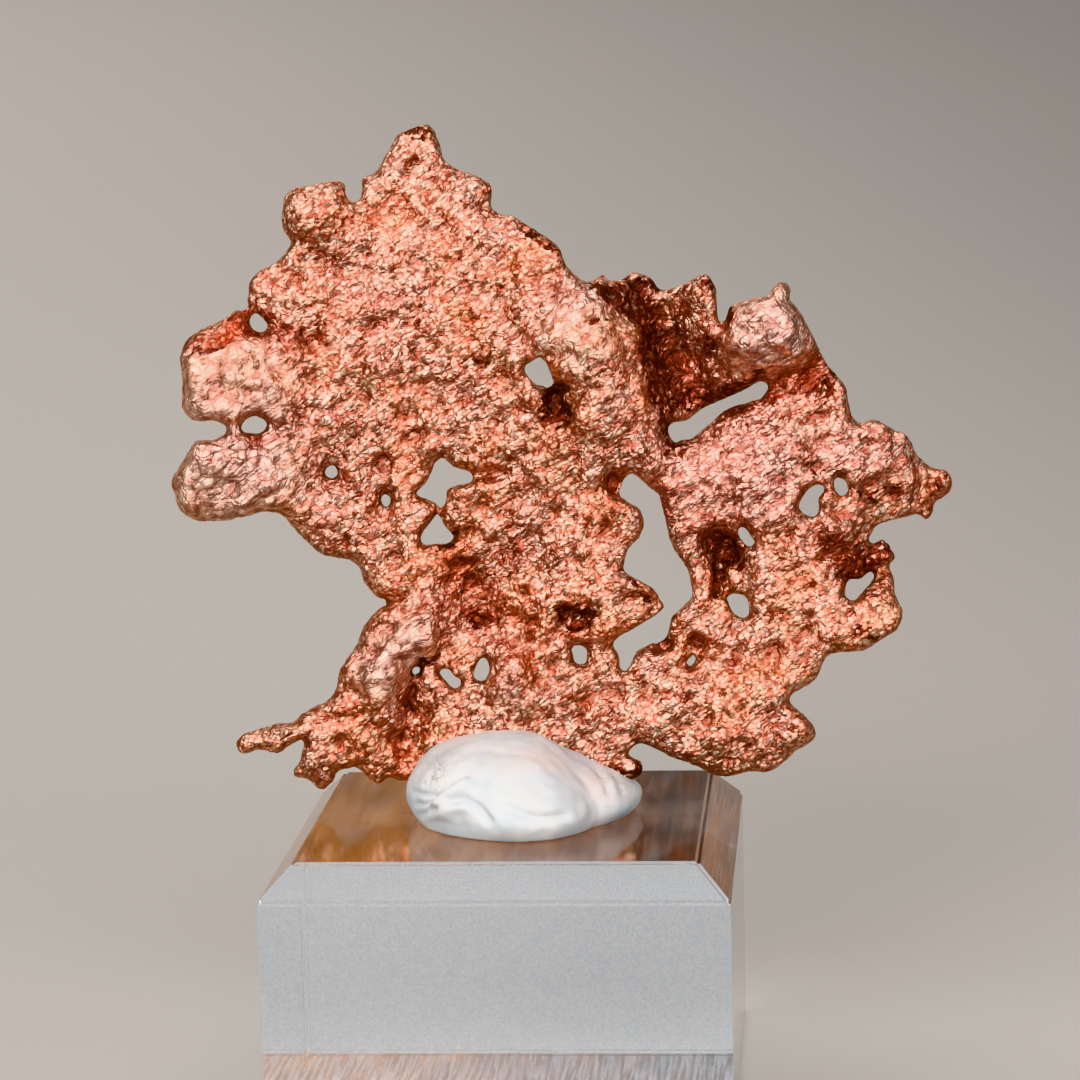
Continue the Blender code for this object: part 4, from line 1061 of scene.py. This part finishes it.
def pale_floor():
    """Matt warm grey paper, swept up behind as one sheet, with painted shade that takes it from
    PAPER_LIGHT to PAPER_SHADE, darkest towards the back right.
    """
    made, tree, shader = new_material("warm grey paper")
    run = put(tree, "Mapping", {
        "Vector": put(tree, "TexCoord").outputs["Object"], "Location": PAPER_FADE_FROM,
        "Rotation": (0, 0, PAPER_FADE_TURN), "Scale": [PAPER_FADE_REACH] * 3,
    }, vector_type="TEXTURE")
    fade = put(tree, "TexGradient", {"Vector": run}, gradient_type="EASING")
    tone = put(tree, "ValToRGB", {0: fade.outputs["Fac"]}, ramp=[(0, PAPER_LIGHT), (1, PAPER_SHADE)])
    set_up(tree, shader, Base_Color=tone, Roughness=MATT, Specular_IOR_Level=0.1)
    return made


def tack_reach(heading):
    """How far the widest outline is from the tack's middle in this direction, in millimetres."""
    arms = np.array(TACK_PLAN) - np.array(TACK_MIDDLE)
    headings = np.arctan2(arms[:, 1], arms[:, 0])
    return np.interp(heading, headings, np.hypot(*arms.T), period=math.tau)


def tack_surface(directions, foot):
    """Where directions on the unit ball meet the lump of tack."""
    along, across, up = directions.T
    reach = tack_reach(np.arctan2(across, along))
    x = TACK_MIDDLE[0] + reach * along
    y = TACK_MIDDLE[1] + reach * across
    ceiling = np.interp(x, *zip(*TACK_CEILING))
    risen = np.maximum(0, (up - TACK_FLOOR_LEVEL) / (1 - TACK_FLOOR_LEVEL))
    return np.stack([x * MM, y * MM, foot + ceiling * MM * risen], axis=1)


def near_line(x, z, line, half_width):
    """1 on the line and 0 further from it than about twice half_width, in millimetres."""
    best = np.full_like(x, np.inf)
    for (ax, az), (bx, bz) in zip(line, line[1:]):
        dx, dz = bx - ax, bz - az
        share = ((x / MM - ax) * dx + (z / MM - az) * dz) / (dx * dx + dz * dz)
        share = np.clip(share, 0, 1)
        best = np.minimum(best, np.hypot(x / MM - ax - share * dx, z / MM - az - share * dz))
    return np.exp(-((best / half_width) ** 2))


def make_tack(block_top):
    form = bmesh.new()
    bmesh.ops.create_icosphere(form, subdivisions=TACK_ICOSPHERE, radius=1)
    tack = add_mesh("pressed_mineral_tack", form)
    mesh = tack.data
    move_vertices(mesh, tack_surface(vertex_values(mesh, "co"), block_top + TACK_LIFT))
    points, normals = surface(mesh)
    x, z = seen_on_plane(points)
    front = np.clip(TACK_FRONT_GAIN * facing_share(points, normals), 0, 1)
    off_the_block = np.clip((points[:, 2] - block_top) / TACK_FOOT, 0, 1)
    sunk = sum(depth * near_line(x, z, line, half) for line, half, depth in TACK_CREASES)
    raised = sum(rise * near_line(x, z, line, half) for line, half, rise in TACK_FOLDS)
    rise = TACK_CREASE_GAIN * (raised - sunk) * MM * front
    rise += TACK_LUMP_RISE * noise_at(points, TACK_LUMP_SIZE, 31)
    rise += TACK_LUMP_RISE / 4 * noise_at(points, TACK_LUMP_SIZE / 4, 32)
    swell(mesh, points, normals, rise * off_the_block)
    keep_value(mesh, "dirt", hills(x, z, TACK_DIRT_PLACES, 1) * front)
    # painted pink light thrown on the tack by the copper
    keep_value(mesh, "copper_bounce", hills(x, z, TACK_COPPER_BOUNCE_PLACES, 1) * front)
    keep_value(mesh, "crease", sunk * front)
    mesh.shade_smooth()
    mesh.materials.append(mineral_tack())
    return tack


def make_block(low, high):
    """The clear block: its top edges bevelled as on the solid, and every edge just broken."""
    form = bmesh.new()
    bmesh.ops.create_cube(form, size=1)
    bmesh.ops.scale(form, vec=high - low, verts=form.verts)
    bmesh.ops.translate(form, vec=(low + high) / 2, verts=form.verts)
    top = [e for e in form.edges if all(v.co.z > low.z + MM for v in e.verts)]
    bmesh.ops.bevel(form, geom=top, offset=BLOCK_BEVEL, segments=1, affect="EDGES")
    bmesh.ops.bevel(form, geom=form.edges[:], offset=BLOCK_EDGE_ROUND, segments=2, affect="EDGES")
    form.normal_update()
    for face in form.faces:  # 0 the sides and the back, 1 the front, 2 the top, 3 the underside
        _, ahead, up = face.normal
        face.material_index = 3 if up < -0.9 else 2 if up > 0.9 else 1 if ahead < -0.5 else 0
    block = add_mesh("clear_acrylic_block", form)
    for material in (
        clear_acrylic("polished cast acrylic", ACRYLIC_CLEAN, SIDE_ROUGH, 0),
        clear_acrylic("dusty cast acrylic", ACRYLIC_DUSTY, SIDE_ROUGH, FRONT_DUST),
        clear_acrylic("hazed cast acrylic", ACRYLIC_CLEAN, TOP_ROUGH, 0),
        brown_underside(),
    ):
        block.data.materials.append(material)
    block.visible_shadow = False  # light passes through it to the paper behind
    return block


def make_camera():
    data = bpy.data.cameras.new("camera")
    data.lens = CAMERA_LENS
    data.clip_end = 20
    camera = add_object("camera", data)
    ahead = Vector((
        -math.sin(CAMERA_YAW) * math.cos(CAMERA_PITCH),
        math.cos(CAMERA_YAW) * math.cos(CAMERA_PITCH),
        -math.sin(CAMERA_PITCH),
    ))
    level = Vector((math.cos(CAMERA_YAW), math.sin(CAMERA_YAW), 0))
    upright = level.cross(ahead)
    right = level * math.cos(CAMERA_ROLL) + upright * math.sin(CAMERA_ROLL)
    top = upright * math.cos(CAMERA_ROLL) - level * math.sin(CAMERA_ROLL)
    turned = Matrix((right, top, -ahead)).transposed().to_4x4()
    camera.matrix_world = Matrix.Translation(FACE_POINT) @ turned
    bpy.context.scene.camera = camera


def make_stage():
    """One sheet of paper as floor and backdrop."""
    profile = [(PAPER_FRONT, 0.0), (PAPER_BEND, 0.0)]
    for i in range(1, PAPER_STEPS + 1):
        turn = math.pi / 2 * i / PAPER_STEPS
        profile.append((PAPER_BEND + PAPER_BEND_RADIUS * math.sin(turn),
                        PAPER_BEND_RADIUS * (1 - math.cos(turn))))
    profile.append((PAPER_BEND + PAPER_BEND_RADIUS, PAPER_TOP))
    form = bmesh.new()
    rows = [
        [form.verts.new((side * PAPER_HALF_WIDTH, y, z + PAPER_LEVEL)) for side in (-1, 1)]
        for y, z in profile
    ]
    for (a, b), (c, d) in zip(rows, rows[1:]):
        form.faces.new((a, b, d, c))
    paper = add_mesh("paper_sweep", form)
    paper.data.shade_smooth()
    paper.data.materials.append(pale_floor())


def make_card(name, low, high, colour):
    """A wide matt card that stands upright, far behind the block."""
    form = bmesh.new()
    corners = [(-1, low), (1, low), (1, high), (-1, high)]
    form.faces.new([
        form.verts.new((side * CARD_HALF_WIDTH, CARD_BEHIND, z * MM)) for side, z in corners
    ])
    card = add_mesh(name, form)
    made, tree, shader = new_material(name)
    set_up(tree, shader, Base_Color=linear(colour), Roughness=MATT)
    card.data.materials.append(made)


def make_lights():
    for name, place, size, watts, colour in LAMPS:
        lamp = bpy.data.lights.new(name, "AREA")
        lamp.size = size * MM
        lamp.energy = watts
        lamp.color = linear(colour)[:3]
        obj = add_object(name, lamp)
        obj.location = Vector(place) * MM
        obj.rotation_euler = (LAMP_TARGET - obj.location).to_track_quat("-Z", "Y").to_euler()
        obj.visible_transmission = False
    key = bpy.data.lights.new("key", "SUN")
    key.energy = KEY_STRENGTH
    key.angle = KEY_ANGLE
    key.color = linear(KEY_COLOUR)[:3]
    sun = add_object("key", key)
    sun.rotation_euler = KEY_FROM.to_track_quat("Z", "Y").to_euler()
    sun.visible_transmission = False
    world = bpy.data.worlds.new("studio")
    bpy.context.scene.world = world
    world.use_nodes = True
    background = world.node_tree.nodes["Background"]
    background.inputs["Color"].default_value = linear(WORLD_COLOUR)
    background.inputs["Strength"].default_value = WORLD_STRENGTH


def add_piece(piece, node):
    """Hangs the piece on the one body and hides the node of the part that it stands for."""
    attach(piece, BODY)
    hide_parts(node)


def main():
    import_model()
    make_camera()
    make_stage()
    for card in CARDS:
        make_card(*card)
    make_lights()
    bpy.context.scene.view_settings.view_transform = VIEW
    bpy.context.scene.view_settings.look = LOOK
    low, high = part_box("acrylic_block")
    add_piece(make_nugget(), "copper_nugget")
    add_piece(make_tack(high.z), "mineral_tack")
    add_piece(make_block(low, high), "acrylic_block")


main()
